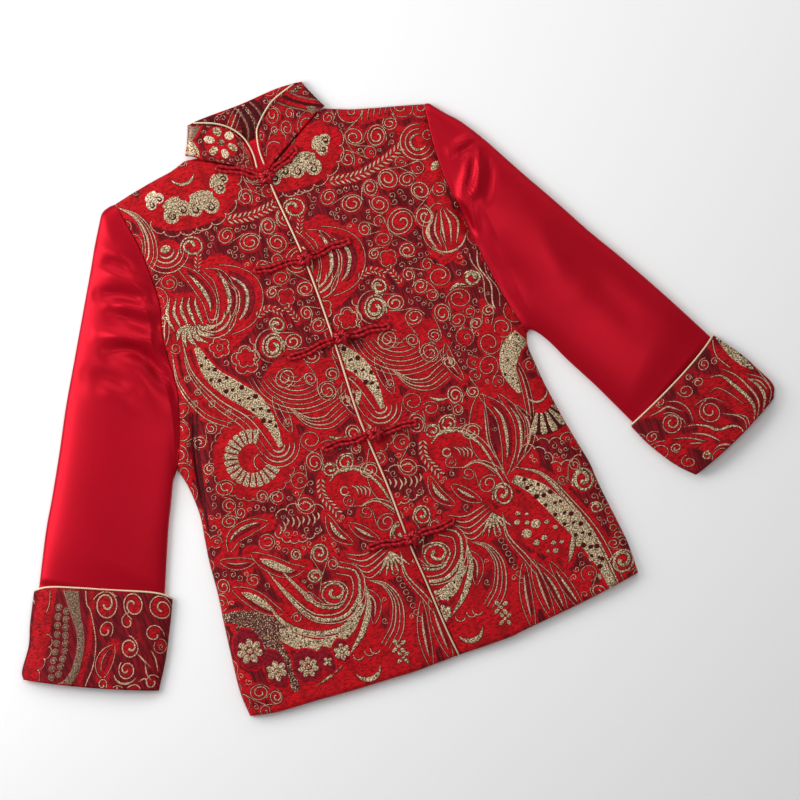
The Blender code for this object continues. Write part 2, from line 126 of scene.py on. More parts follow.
def fillGrid(low, high, start, end, uShares, vShares):
    # Coons patch: the two ruled surfaces between opposite curves, less the bilinear patch of the corners
    u, v = uShares[None, :, None], vShares[:, None, None]
    ruled = (1 - v) * low[None] + v * high[None] + (1 - u) * start[:, None] + u * end[:, None]
    corners = ((1 - u) * (1 - v) * low[0] + u * (1 - v) * low[-1]
               + (1 - u) * v * high[0] + u * v * high[-1])
    return ruled - corners


def nearEnds(count, pull):
    # shares from 0 to 1 that crowd towards both ends: a line blended with half a cosine wave
    t = np.linspace(0, 1, count)
    return (1 - pull) * t + pull * (1 - np.cos(np.pi * t)) / 2


def ease(t):
    # smoothstep, 0 below 0 and 1 above 1
    t = np.clip(t, 0, 1)
    return t * t * (3 - 2 * t)


def roundUp(distance, radius):
    # quarter circle: 0 at the edge, 1 from a radius in
    return np.sqrt(np.clip(1 - (1 - np.clip(distance / radius, 0, 1)) ** 2, 0, 1))


def dome(t, power, lean=1.0):
    # upper half of a superellipse from edge to edge: a power of 2 gives an ellipse and more a flatter top
    return np.sqrt(1 - np.abs(2 * t ** lean - 1) ** power)


def distanceTo(xy, line):
    # least distance from every point to a polyline, segment by segment
    line = np.asarray(line, float)
    best = np.full(xy.shape[:-1], 1e9)
    for a, b in zip(line, line[1:]):
        run = b - a
        t = np.clip(((xy - a) @ run) / (run @ run), 0, 1)
        best = np.minimum(best, np.linalg.norm(xy - a - t[..., None] * run, axis=-1))
    return best


def gridQuads(rows, columns, wrap=False):
    # quads of a grid of points, joined round in the second direction if wrap
    index = np.arange(rows * columns).reshape(rows, columns)
    if wrap:
        index = np.hstack([index, index[:, :1]])
    return np.stack([index[:-1, :-1], index[:-1, 1:], index[1:, 1:], index[1:, :-1]], -1).reshape(-1, 4)


def addPiece(name, points, quads, finishes, faceFinish=None):
    # mesh from arrays of points in mm and quads
    mesh = bpy.data.meshes.new(name)
    mesh.vertices.add(len(points))
    mesh.vertices.foreach_set("co", (np.asarray(points) * mm).astype(np.float32).ravel())
    mesh.loops.add(quads.size)
    mesh.loops.foreach_set("vertex_index", quads.astype(np.int32).ravel())
    mesh.polygons.add(len(quads))
    mesh.polygons.foreach_set("loop_start", np.arange(0, quads.size, 4, dtype=np.int32))
    mesh.polygons.foreach_set("use_smooth", np.ones(len(quads), bool))
    for finish in finishes:
        mesh.materials.append(finish)
    if faceFinish is not None:
        mesh.polygons.foreach_set("material_index", faceFinish.astype(np.int32))
    mesh.update(calc_edges=True)
    piece = bpy.data.objects.new(name, mesh)
    bpy.context.scene.collection.objects.link(piece)
    return piece


def setAttribute(piece, name, values):
    # one number for each point, which the materials read by name
    layer = piece.data.attributes.new(name, "FLOAT", "POINT")
    layer.data.foreach_set("value", np.asarray(values, np.float32).ravel())


def addCloth(name, points, thickness, finish, wrap=False, hand=1):
    # sheet over a grid of points, with its thickness behind the side that shows
    piece = addPiece(name, points.reshape(-1, 3), gridQuads(*points.shape[:2], wrap)[:, ::hand], [finish])
    wall = piece.modifiers.new("wall", "SOLIDIFY")
    wall.thickness, wall.offset = thickness * mm, -1
    return piece


def rimOf(grid):
    # the border of a grid of points, once round
    return np.vstack([grid[0, :-1], grid[:-1, -1], grid[-1, :0:-1], grid[:0:-1, 0]])


def respaced(points, places, regular):
    # every row of a grid of points, carried from its own places along the row to regular ones
    return np.stack([np.stack([np.interp(regular, places, column) for column in row.T], 1) for row in points])


def settle(piece, node):
    # the piece stands for a node of the part, or adds to one when node is None
    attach(piece, "root")
    if node:
        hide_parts(node)


# materials
def linearColour(hexText):
    # sRGB hex to linear: the lower part of the curve is straight, the rest a power of 2.4
    raw = np.array([int(hexText[k:k + 2], 16) for k in (1, 3, 5)]) / 255
    linear = np.where(raw <= 0.04045, raw / 12.92, ((raw + 0.055) / 1.055) ** 2.4)
    return (*linear.tolist(), 1.0)


def addNode(tree, kind, inputs=None, **settings):
    # a node with its settings, and its inputs each given a value or another node's output
    node = tree.nodes.new(kind)
    for key, value in settings.items():
        setattr(node, key, value)
    for key, value in (inputs or {}).items():
        if isinstance(value, bpy.types.NodeSocket):
            tree.links.new(value, node.inputs[key])
        else:
            node.inputs[key].default_value = value
    return node


def newMaterial(name, **sockets):
    # principled material; where a socket's name has a space, its keyword has _
    made = bpy.data.materials.new(name)
    made.use_nodes = True
    shader = made.node_tree.nodes["Principled BSDF"]
    for key, value in sockets.items():
        shader.inputs[key.replace("_", " ")].default_value = value
    return made, made.node_tree, shader


def stretched(tree, xScale, yScale, zScale):
    # the piece's own coordinates in metres, scaled so that a pattern has its real size
    place = addNode(tree, "ShaderNodeTexCoord")
    return addNode(tree, "ShaderNodeMapping",
                   {"Vector": place.outputs["Object"], "Scale": (xScale, yScale, zScale)}).outputs[0]


def dress(tree, shader, colour, height, strength, depth):
    # colour on the shader, and a relief that is depth mm high where height is 1
    bump = addNode(tree, "ShaderNodeBump",
                   {"Height": height.outputs[0], "Strength": strength, "Distance": depth * mm})
    tree.links.new(colour, shader.inputs["Base Color"])
    tree.links.new(bump.outputs[0], shader.inputs["Normal"])


# lengths in mm; the satin's thread is drawn coarser than its real 0.3 mm so that it shows
satinLook = {
    "colour": "#BA0821", "dark": "#A40319", "cloudSize": 90, "threadSpacing": 1.1, "threadDepth": 0.05,
    "float": 0.08,         # how much slower the threads vary along their length
    "relief": 0.35,
}


def polyesterSatin(name, look):
    # warp-faced polyester satin, calendered: long floats give a broad soft sheen and hardly any weave shows
    made, tree, shader = newMaterial(name, Roughness=0.37, IOR=1.55, Metallic=0.5, Specular_IOR_Level=0.12)
    scale = 1000 / look["threadSpacing"]
    cloud = addNode(tree, "ShaderNodeTexNoise",
                    {"Vector": stretched(tree, 1, 1, 1), "Scale": 1000 / look["cloudSize"], "Detail": 2.0})
    mix = addNode(tree, "ShaderNodeMix",
                  {0: cloud.outputs[0], 6: linearColour(look["dark"]), 7: linearColour(look["colour"])},
                  data_type="RGBA")
    floats = addNode(tree, "ShaderNodeTexNoise",
                     {"Vector": stretched(tree, scale, scale * look["float"], scale), "Scale": 1.0,
                      "Detail": 2.0})
    dress(tree, shader, mix.outputs[2], floats, look["relief"], look["threadDepth"])
    return made


# the rib is drawn at twice its real spacing so that it shows
brocadeLook = {
    "red": "#C80B18", "deepRed": "#7A030A", "shade": "#88050D", "maroon": "#52060E", "maroonStreak": "#8A0A1A",
    "ribSpacing": 1.7, "ribLong": 0.45, "ribDepth": 0.45, "relief": 0.8,
    "streakWidth": 1.6, "streaks": 60,      # a streak's width, and how many follow each other in a metre
    "shadeSize": 14, "shadeMost": 0.8,
    "fray": 0.12,          # how far the rib breaks the edge between red and maroon
}


def jacquardBrocade(name, look):
    # jacquard weave: a ribbed red blister weave on a maroon satin ground, both matt beside the lurex
    made, tree, shader = newMaterial(name, Roughness=0.65, IOR=1.45, Specular_IOR_Level=0.15)
    fine, patchy = 1000 / look["ribSpacing"], 1000 / look["shadeSize"]
    dye = addNode(tree, "ShaderNodeAttribute", attribute_name="dye")
    crepe = addNode(tree, "ShaderNodeTexNoise",
                    {"Vector": stretched(tree, fine * look["ribLong"], fine, fine), "Scale": 1.0, "Detail": 3.0,
                     "Roughness": 0.65, "Distortion": 0.6})
    streak = addNode(tree, "ShaderNodeTexNoise",
                     {"Vector": stretched(tree, 1000 / look["streakWidth"], look["streaks"], look["streaks"]),
                      "Scale": 1.0, "Detail": 2.0})
    shading = addNode(tree, "ShaderNodeTexNoise",
                      {"Vector": stretched(tree, patchy, patchy / 2, 1), "Scale": 1.0, "Detail": 3.0})
    ribShare = addNode(tree, "ShaderNodeMapRange",
                       {"Value": crepe.outputs[0], "From Min": 0.38, "From Max": 0.56})
    streakShare = addNode(tree, "ShaderNodeMapRange",
                          {"Value": streak.outputs[0], "From Min": 0.42, "From Max": 0.66})
    shadeShare = addNode(tree, "ShaderNodeMapRange",
                         {"Value": shading.outputs[0], "From Min": 0.5, "From Max": 0.7,
                          "To Max": look["shadeMost"]})
    fray = addNode(tree, "ShaderNodeMapRange",
                   {"Value": crepe.outputs[0], "To Min": -look["fray"], "To Max": look["fray"]})
    edge = addNode(tree, "ShaderNodeMath", {0: dye.outputs["Fac"], 1: fray.outputs[0]}, operation="ADD")
    redShare = addNode(tree, "ShaderNodeMapRange",
                       {"Value": edge.outputs[0], "From Min": 0.4, "From Max": 0.6},
                       interpolation_type="SMOOTHSTEP")
    red = addNode(tree, "ShaderNodeMix",
                  {0: ribShare.outputs[0], 6: linearColour(look["deepRed"]), 7: linearColour(look["red"])},
                  data_type="RGBA")
    shaded = addNode(tree, "ShaderNodeMix",
                     {0: shadeShare.outputs[0], 6: red.outputs[2], 7: linearColour(look["shade"])},
                     data_type="RGBA")
    ground = addNode(tree, "ShaderNodeMix",
                     {0: streakShare.outputs[0], 6: linearColour(look["maroon"]),
                      7: linearColour(look["maroonStreak"])}, data_type="RGBA")
    colour = addNode(tree, "ShaderNodeMix",
                     {0: redShare.outputs[0], 6: ground.outputs[2], 7: shaded.outputs[2]}, data_type="RGBA")
    dress(tree, shader, colour.outputs[2], crepe, look["relief"], look["ribDepth"])
    return made


# for each tone the dark, middle and light gold, where each lies on the grain, and the grain's size;
# the film is 0.3 mm wide, and the grain is drawn coarser so that it shows
lurexLook = {
    "thread": (("#7C4838", "#C09276", "#EED0B0"), (0.36, 0.5, 0.64), 1.0),
    "ground": (("#46261A", "#9C825E", "#F0DCBA"), (0.37, 0.5, 0.63), 1.25),
    "sparse": (("#420C0C", "#6E3A2E", "#D8BC9A"), (0.45, 0.55, 0.65), 1.4),
    "bright": (("#7A5644", "#C4A684", "#FFF0D4"), (0.36, 0.49, 0.62), 1.25),
    "dull": (("#44221E", "#765746", "#A68A70"), (0.36, 0.5, 0.64), 1.0),
}
lurexRelief = {"strength": 0.6, "depth": 0.2}


def lurexFinish(name, golds, places, grainSize):
    # flat metallised film: pale gold where it floats as a thread, and a greyer ground where the binding yarn
    # breaks it into bright and dark grains
    made, tree, shader = newMaterial(name, Roughness=0.42, Metallic=0.35, Specular_IOR_Level=0.3)
    grain = addNode(tree, "ShaderNodeTexNoise",
                    {"Vector": stretched(tree, 1, 1, 1), "Scale": 1000 / grainSize, "Detail": 2.0})
    ramp = addNode(tree, "ShaderNodeValToRGB", {"Fac": grain.outputs[0]})
    ramp.color_ramp.elements.new(places[1])
    for element, place, gold in zip(ramp.color_ramp.elements, places, golds):
        element.position = place
        element.color = linearColour(gold)
    dress(tree, shader, ramp.outputs[0], grain, lurexRelief["strength"], lurexRelief["depth"])
    return made


# the pattern yarns, and the painted shade strip that lies beside thin threads: the tone that the strokes name,
# then the material's name, light and dark
yarnLook = {
    "red": ("redPatternYarn", "#C80B18", "#7A030A"),
    "wine": ("winePatternYarn", "#8E0C20", "#5A0612"),
    "maroon": ("maroonPatternYarn", "#52060E", "#30040A"),
    "shadeStrip": ("paintedShadeStripYarn", "#7C0810", "#460408"),
}
yarnGrain = {"ribs": 600, "ribsAlong": 300, "strength": 0.7, "depth": 0.3}      # ribs in a metre, depth in mm


def flatYarn(name, light, dark):
    # viscose pattern yarn lying over the lurex or the ground: ribbed and matt
    made, tree, shader = newMaterial(name, Roughness=0.65, IOR=1.45, Specular_IOR_Level=0.15)
    ribs = yarnGrain["ribs"]
    grain = addNode(tree, "ShaderNodeTexNoise",
                    {"Vector": stretched(tree, yarnGrain["ribsAlong"], ribs, ribs), "Scale": 1.0,
                     "Detail": 3.0})
    share = addNode(tree, "ShaderNodeMapRange",
                    {"Value": grain.outputs[0], "From Min": 0.38, "From Max": 0.6})
    mix = addNode(tree, "ShaderNodeMix",
                  {0: share.outputs[0], 6: linearColour(dark), 7: linearColour(light)}, data_type="RGBA")
    dress(tree, shader, mix.outputs[2], grain, yarnGrain["strength"], yarnGrain["depth"])
    return made


# painted shade and highlight on the cords: dark in each pull's hollow, light on its crest
cordLook = {
    "piping": {"light": "#F2DEC0", "dark": "#D2B692", "sheen": "#FFF4D8", "spacing": 2.2, "roughness": 0.42,
               "pull": 0.2},
    "frog": {"light": "#BC041A", "dark": "#7A020F", "sheen": "#FF3040", "spacing": 5.5, "roughness": 0.3,
             "pull": 0.12},
}


def cordSatin(name, look):
    # bias-cut satin folded round a filler cord: slanting pulls cross it, as its attributes along and turn say;
    # its colour is painted shade in each pull's hollow and a painted highlight on its crest
    made, tree, shader = newMaterial(name, Roughness=look["roughness"], IOR=1.5, Metallic=0.4,
                                     Specular_IOR_Level=0.25, Coat_Weight=0.12, Coat_Roughness=0.3,
                                     Sheen_Weight=0.02, Sheen_Roughness=0.4,
                                     Sheen_Tint=linearColour(look["sheen"]))
    along = addNode(tree, "ShaderNodeAttribute", attribute_name="along")
    turn = addNode(tree, "ShaderNodeAttribute", attribute_name="turn")
    slant = addNode(tree, "ShaderNodeMath",
                    {0: along.outputs["Fac"], 1: 2 * np.pi / look["spacing"], 2: turn.outputs["Fac"]},
                    operation="MULTIPLY_ADD")
    wave = addNode(tree, "ShaderNodeMath", {0: slant.outputs[0]}, operation="SINE")
    share = addNode(tree, "ShaderNodeMapRange", {"Value": wave.outputs[0], "From Min": -1.0})
    # painted shade: the dark colour follows each pull's hollow and the light one its crest
    mix = addNode(tree, "ShaderNodeMix",
                  {0: share.outputs[0], 6: linearColour(look["dark"]), 7: linearColour(look["light"])},
                  data_type="RGBA")
    dress(tree, shader, mix.outputs[2], share, 0.5, look["pull"])
    return made


satin = polyesterSatin("polyesterSatin", satinLook)
liningSatin = polyesterSatin("polyesterSatinLining", dict(satinLook, colour="#C80E24", dark="#B2081C"))
brocade = jacquardBrocade("jacquardBrocade", brocadeLook)
tones = {tone: lurexFinish("lurex" + tone.capitalize(), *look) for tone, look in lurexLook.items()}
tones.update({tone: flatYarn(*look) for tone, look in yarnLook.items()})
pipingSatin = cordSatin("goldSatinBias", cordLook["piping"])
frogSatin = cordSatin("crimsonSatinBias", cordLook["frog"])
print("materials made")

# creases, rows of the points of a line, half width and height: a ridge is above 0 and a trough below
creases = [
    # right sleeve, a fan of folds from the armhole seam
    ([(-190, 214), (-178, 206), (-160, 190)], 7, 1.6),
    ([(-187, 199), (-172, 188), (-158, 172)], 5.4, -3.0),
    ([(-192, 188), (-175, 176), (-155, 159)], 5, 2.2),
    ([(-200, 167), (-176, 157), (-153, 140)], 6, -6.0),
    ([(-194, 152), (-175, 144), (-153, 130)], 4.2, 2.8),
    ([(-192, 143), (-172, 127), (-152, 112)], 6, -6.2),
    ([(-216, 130), (-200, 122), (-180, 111), (-159, 96)], 5.5, 4.6),
    ([(-210, 108), (-190, 104), (-176, 90), (-169, 68), (-161, 50)], 6.5, -8.4),
    ([(-214, 104), (-198, 88), (-187, 68), (-178, 34)], 8, 1.8),
    ([(-238, 96), (-218, 82), (-203, 62)], 7.5, -2.6),
    ([(-236, 80), (-220, 70), (-200, 52)], 9, 1.8),
    # left sleeve, a flat panel between two sharp folds, and the gap under it
    ([(180, 177), (192, 180), (208, 181)], 3.4, 3.4),
    ([(184, 168), (193, 171), (201, 169)], 4, -2.4),
    ([(206, 172), (203, 158), (198, 144), (190, 132), (181, 128), (169, 124)], 2.8, 4.2),
    ([(194, 164), (190, 156), (178, 138), (168, 126)], 2.6, 3.0),
    ([(196, 154), (188, 142), (178, 132)], 2.6, -2.0),
    ([(213, 162), (210, 142), (198, 122), (186, 116)], 4.5, -3.2),
    ([(177, 121), (178, 108), (176, 92)], 3.6, 3.0),
    ([(166, 122), (167, 104), (169, 84)], 3.2, -5.5),
    ([(190, 96), (188, 60), (196, 20)], 11, -3.0),
    ([(244, 104), (237, 55), (244, 6)], 16, 2.0),
    ([(206, 110), (200, 60), (204, 6)], 14, -1.4),
    ([(268, 20), (280, -20), (300, -60)], 14, -1.0),
    # right front, beside the armpit
    ([(-154, 16), (-164, -12), (-171, -44), (-180, -92)], 4.4, -4.4),
    ([(-146, 10), (-154, -27), (-160, -70)], 7, 1.4),
    # left front, puckers beside the armhole
    ([(112, 160), (119, 147), (125, 133)], 2.6, -2.6),
    ([(106, 156), (113, 143), (119, 131)], 2.4, 1.2),
    ([(118, 130), (124, 118), (129, 104)], 2.6, -2.4),
    ([(120, 98), (126, 86), (131, 70)], 2.8, -2.8),
    ([(131, 92), (136, 74), (139, 54)], 2.8, -2.4),
    ([(134, 170), (140, 150), (143, 132)], 3.0, -1.6),
    ([(147, 208), (151, 186), (151, 160)], 3.6, -1.6),
    ([(156, 90), (160, 60), (168, 20)], 5, -1.4),
]
creaseFade = {"least": 0.35, "over": 0.35}      # share of the height at a crease's ends, and of its length


def creaseHeight(xy):
    # sum of bell curves across each crease's line, fading over the last part of its length
    total = np.zeros(xy.shape[:-1])
    for points, width, height in creases:
        line = smoothLine(points, 14)
        toEnd = np.minimum(np.linalg.norm(xy - line[0], axis=-1), np.linalg.norm(xy - line[-1], axis=-1))
        share = ease(toEnd / (creaseFade["over"] * stepLengths(line).sum()))
        full = creaseFade["least"] + (1 - creaseFade["least"]) * share
        total += height * full * bell(distanceTo(xy, line), 0, width)
    return total


def waves(xy, seed, size, count=7):
    # slow unevenness of laid cloth: a few sine waves in seeded directions, about a size long, from -1 to 1
    draw = np.random.default_rng(seed)
    turn = 6.28
    total = np.zeros(xy.shape[:-1])
    for angle, phase, stretch in zip(draw.uniform(0, np.pi, count), draw.uniform(0, turn, count),
                                     draw.uniform(0.7, 1.6, count)):
        total += np.sin((xy @ heading(angle)) * turn / (size * stretch) + phase)
    return total / count


# the woven pattern, in the cloth's own plane: u across and v up, both in mm
patternSet = {
    "step": 1.6,           # distance between the points of a stroke
    "thin": 0.43,          # half width of an outline thread
    "slim": 0.46, "slimMost": 0.62,     # share of its half width that a gold stroke loses to its binding
    "squash": 0.14,        # a spiral's short side is this much less than its long one
    "aside": 0.16,         # share of its radius that a spiral's centre moves as it winds
    "taper": (0.8, 0.9, 1, 1.1, 1.25, 1.7),     # how a spiral's thread swells towards its round end
    "rim": 1.0, "scrollRim": 0.8,       # red left round a spiral and round a scroll
    "dyeStep": 1.25, "dyeReach": 3.0,   # grid of the red ground, and how far its edge is blurred
    "patchSeed": 5, "patchSize": 30, "patchTall": 0.55, "patchMost": 3.9,
}


def between(values, shares):
    # values that stand evenly from 0 to 1, read at the shares
    return np.interp(shares, np.linspace(0, 1, len(values)), values)


def newCloth(left, right, low, high):
    # a length of brocade: its strokes, the red ground round them, what keeps the filling curls out, the scrolls
    # that lie before the one being drawn, and how far across a repeat is drawn
    return {"box": (left, right, low, high), "strokes": [], "red": [], "clear": [], "before": [], "shift": 0}


cloth = newCloth(-215, 105, -305, 305)     # the fronts are cut from this one


def lay(tone, line, half, level=0, step=None):
    # stroke along a smooth curve; its half width is one number or is spread evenly over the curve.
    # "red area" only dyes the ground red, and "clear" does that and keeps the filling curls out
    line = np.asarray(line, float) + (cloth["shift"], 0)
    count = max(int(stepLengths(line).sum() / (step or patternSet["step"])), 3) + 1
    half = between(np.atleast_1d(half), np.linspace(0, 1, count))
    line = smoothLine(line, count)
    if tone in ("gold", "fine"):
        half = half - np.minimum(half * patternSet["slim"], patternSet["slimMost"])
        for x, y, radius in cloth["before"]:
            half = np.where(np.hypot(line[:, 0] - x, line[:, 1] - y) < radius, 0, half)
    if tone in ("red area", "clear"):
        cloth["red"].append((line, half))
    else:
        cloth["strokes"].append((line, half, tone, level))
    if tone == "clear":
        cloth["clear"].append((line, half))


def patch(tone, x, y, radius):
    # round patch of ground
    lay(tone, [(x - 0.3, y), (x + 0.3, y)], radius)


def lens(power=0.7):
    # half width of a stroke that is pointed at both ends: a power of half a sine wave
    return np.maximum(np.sin(np.linspace(0, np.pi, 9)) ** power, 0.1)


def disc(tone, x, y, radius, level=0, flat=1.0, turn=0.0):
    # filled ellipse: a straight stroke whose half width follows the circle
    t = np.cos(np.linspace(np.pi, 0, 11))
    line = np.array([x, y]) + t[:, None] * heading(turn) * radius
    half = np.interp(np.linspace(-1, 1, 15), t, np.sqrt(1 - t ** 2)) * radius * flat
    lay(tone, line, np.maximum(half, 0.05), level, step=max(radius / 5, 0.6))


def onEllipse(x, y, radii, angles):
    # points at the angles round a circle of one radius, or an ellipse of two
    return (x, y) + radii * heading(angles).T


def arc(tone, x, y, radius, first, last, half, flat=1.0):
    # part of an ellipse from one angle to another, in degrees
    a = np.radians(np.linspace(first, last, max(int(abs(last - first) / 18), 4)))
    lay(tone, onEllipse(x, y, np.array([radius, radius * flat]), a), half)


def bow(x, y, radius, first, last, half):
    # arc with pointed ends
    arc("gold", x, y, radius, first, last, half * lens(0.4))


def bows(x, y, first, last, rows):
    # bows inside one another, rows of radius and half width
    for radius, half in rows:
        bow(x, y, radius, first, last, half)


def spiral(x, y, radius, turns=1.5, start=90.0, hand=1, half=None, red=True, level=0, tone="gold", tail=0.3):
    # a tail that swings in, then a radius that holds for most of a turn and falls to a fifth, with a round end;
    # the centre moves aside as it winds, so that no two look turned on a lathe
    half = half or patternSet["thin"]
    turns += 0.35
    t = np.linspace(-tail / turns, 1, max(int(turns * 14), 8))
    winding = np.maximum(t, 0)
    r = radius * (1 - 0.8 * winding ** 1.8 + 2.6 * (np.minimum(t, 0) * turns) ** 2)
    a = np.radians(start) + hand * 2 * np.pi * turns * (winding + 0.6 * np.minimum(t, 0))
    lean = np.radians(start + 137 * (1 + hand))
    centre = (x, y) + (patternSet["aside"] * radius * winding)[:, None] * heading(lean)
    line = centre + (r * heading(a)).T
    squashed = heading(1.7 * start)
    line = line - patternSet["squash"] * ((line - (x, y)) @ squashed)[:, None] * squashed
    lay(tone, line, half * np.array(patternSet["taper"]), level, step=min(1.5, radius / 4))
    if red:
        patch("clear", x, y, radius + patternSet["rim"])


def scroll(x, y, radius, kind, start, hand, half):
    # a round of cloud scroll: wound up, a ring round a small curl, or a double ring left open
    if kind == 0:
        spiral(x, y, radius, 0.7 + (start % 5) / 10, start, hand, half, red=False, tail=0.35)
    elif kind == 1:
        arc("gold", x, y, radius, start, start + 318, half)
        spiral(x + 0.18 * radius, y - 0.1 * radius, radius * 0.42, 0.4, start + 90, -hand, half * 0.9,
               red=False)
    else:
        arc("gold", x, y, radius, start, start + 330, half)
        arc("gold", x + 0.12 * radius, y, radius * 0.58, start + 60, start + 330, half * 1.5, flat=0.9)
    patch("red area", x, y, radius + patternSet["scrollRim"])


def scallops(points, bump, half=None, depth=0.4, side=1):
    # round lobes along a path: half ellipses that stand on it one after another
    count = max(round(lengthOf(points, 60) / bump), 1)
    turn = np.tile(np.linspace(0, np.pi, 11)[:-1], count)
    shares = (np.repeat(np.arange(count), 10) + (1 - np.cos(turn)) / 2) / count
    run = np.gradient(smoothLine(points, 121), axis=0)
    out = side * leftOf(np.stack([between(column, shares) for column in run.T], 1))
    lobes = smoothLine(points, shares) + out * (np.sin(turn) ** 0.8 * bump * depth)[:, None]
    lay("gold", lobes, half or patternSet["thin"], step=1.0)


def fern(points, leaf, half):
    # pairs of pointed leaves slanting forward along a path
    line = smoothLine(points, max(int(lengthOf(points) / (leaf * 0.62)), 2))
    slant = 0.75       # radians between a leaf and the path
    for place, ahead in zip(line, unit(np.gradient(line, axis=0))):
        for side in (-1, 1):
            turned = ahead * np.cos(slant) + side * np.array([-ahead[1], ahead[0]]) * np.sin(slant)
            lay("gold", [place + turned * 0.7, place + turned * leaf], half * lens(), step=1.2)
    lay("red area", line, leaf * 0.75)


def flowerOutline(x, y, radius, petals, turn, half=None, inner=0.0):
    # closed curve whose radius rises and falls once for each petal
    a = np.linspace(0, 2 * np.pi, petals * 9 + 1)
    r = radius * (0.66 + 0.34 * np.abs(np.cos(petals * (a - turn) / 2)) ** 0.6)
    lay("gold", onEllipse(x, y, r[:, None], a), half or patternSet["thin"] * 1.15, step=1.1)
    if inner:
        lay("gold", onEllipse(x, y, (r * inner)[:, None], a), patternSet["thin"], step=1.0)
    patch("clear", x, y, radius + 0.6)


def petalFlower(x, y, radius, petals=6, turn=0.0, tone="gold", level=0, centre=0.24, plump=0.36, flat=0.82):
    # solid oval petals round a dot
    for k in range(petals):
        a = turn + 2 * np.pi * k / petals
        disc(tone, *((x, y) + 0.64 * radius * heading(a)), radius * plump, level, flat, a)
    disc(tone, x, y, radius * centre, level)


def shellLobe(x, y, radius, turn, wide=1.1, tone="ground"):
    # gold fan on red: a broad flat head, and two round feet beside a notch, each holding a dark curl
    run = heading(turn) * radius
    side = heading(turn + np.pi / 2) * radius * wide
    head = (x, y) - run * 0.16
    lay(tone, [head - side * 0.7, head + side * 0.7], radius * np.array([0.5, 0.72, 0.78, 0.72, 0.5]), step=1.0)
    for hand in (-1, 1):
        disc(tone, *((x, y) + run * 0.38 + side * hand * 0.5), radius * 0.68)
        spiral(*((x, y) + run * 0.5 + side * hand * 0.42), radius * 0.34, 0.35,
               np.degrees(turn) + 180 - hand * 70, -hand, 0.9, red=False, level=1, tone="maroon", tail=0.4)
    lay("red", [(x, y) + run * 0.72, (x, y) + run * 1.2], (0.5, 2.2), 1)
    patch("clear", x, y, radius + 6)


def wedge(points, half):
    # pointed stroke, with red round it
    lay("gold", points, half * lens())
    lay("red area", points, half + 2.6)


def petal(points, wide, inner):
    # red petal along a path, outlined on both sides; inner holds pointed gold strokes, rows of the share of its
    # width at which each lies and its half width, and a wine one goes beside each
    line = smoothLine(points, 24)
    body = wide * np.sin(np.pi * np.linspace(0.02, 0.98, 24)) ** 0.65
    out = leftOf(np.gradient(line, axis=0)) * body[:, None]
    for side in (-1, 1):
        lay("gold", line + side * out, patternSet["thin"] * 1.1)
    for share, thick in inner:
        lay("gold", (line + share * out)[4:-4], thick * lens(0.5))
        lay("wine", (line + (share - 0.42) * out)[5:-3], 0.17 * wide * lens(0.5))
    lay("clear", line, wide + 0.6)


def bands(points, offsets, halves, red=3.0):
    # threads that leave one point and flow side by side: each ends up its offset away from the path
    line = smoothLine(points, 40)
    out = leftOf(np.gradient(line, axis=0)) * np.sin(np.linspace(0, np.pi / 2, 40))[:, None]
    for k, offset in enumerate(offsets):
        thread = line + out * offset
        lay("gold", thread[k % 3 * 2:], halves[k % len(halves)] * np.array([0.6, 1, 1.15, 1.1, 0.9, 0.5]))
        lay("red area", thread, red)


def goldField(points, halves, dots, dotSize=1.5, tone="maroon", seed=0, ground="ground"):
    # broad gold ground along a path with small dots strewn over it
    lay(ground, points, halves)
    lay("red area", points, np.array(halves) + 2.5)
    draw = np.random.default_rng(seed)
    line, half = smoothLine(points, 60), between(halves, np.linspace(0, 1, 60))
    out = leftOf(np.gradient(line, axis=0))
    for k in range(dots):
        at = int((k + 0.5) / dots * 59)
        side = (-0.62, 0.05, 0.6)[k % 3] + draw.uniform(-0.12, 0.12)
        if half[at] > dotSize * 2:
            disc(tone, *(line[at] + out[at] * side * half[at]), dotSize * draw.uniform(0.7, 1.15), 1)


def sun(x, y, radius, first, last, petals, reach):
    # red disc with blunt gold petals over part of a turn and a scalloped line outside them
    patch("clear", x, y, reach * radius + 2)
    patch("red area", x, y, reach * radius + 11)
    arc("wine", x, y, radius * 1.6, first - 4, last + 4, radius * 0.46)
    for a in np.radians(np.linspace(first, last, petals)):
        lay("ground", [(x, y) + heading(a) * radius * 1.1, (x, y) + heading(a) * radius * reach],
            radius * np.array([0.1, 0.13, 0.16, 0.185, 0.21, 0.235, 0.17]), 1, 1.2)
    a = np.radians(np.linspace(first - 5, last + 15, 14))
    scallops(onEllipse(x, y, radius * np.array([3.0, 2.9]), a), 9, side=-1)


def ringChain(points, radius, half=0.45):
    # small rings in a row
    for x, y in smoothLine(points, max(int(lengthOf(points) / (2.3 * radius)), 2)):
        arc("gold", x, y, radius, 0, 330, half)


def crescent(x, y, radius, first, last, half):
    # pointed stroke along part of a circle
    wedge(onEllipse(x, y, radius, np.radians(np.linspace(first, last, 9))), half)


def fringe(points, length, lean, half):
    # row of curved strokes hanging from a path, of unequal length
    gap = 4.2
    for k, root in enumerate(smoothLine(points, max(int(lengthOf(points) / gap), 2))):
        tip = heading(np.radians(lean)) * length * (0.8 + 0.2 * np.sin(k * 2.1))
        side = np.array([-tip[1], tip[0]]) * 0.22
        lay("gold", [root, root + tip / 2 + side, root + tip], half * lens(), step=1.3)


def ovalFlower(x, y, wide, tall, petals, size):
    # dark oval let into a gold ground, with a flower in it
    disc("red", x, y, tall + 1.8, 1, (wide + 1.8) / (tall + 1.8), np.pi / 2)
    disc("wine", x, y, tall, 2, wide / tall, np.pi / 2)
    petalFlower(x, y - 0.1 * tall, size, petals, 0.4, "ground", 3, plump=2.55 / petals)


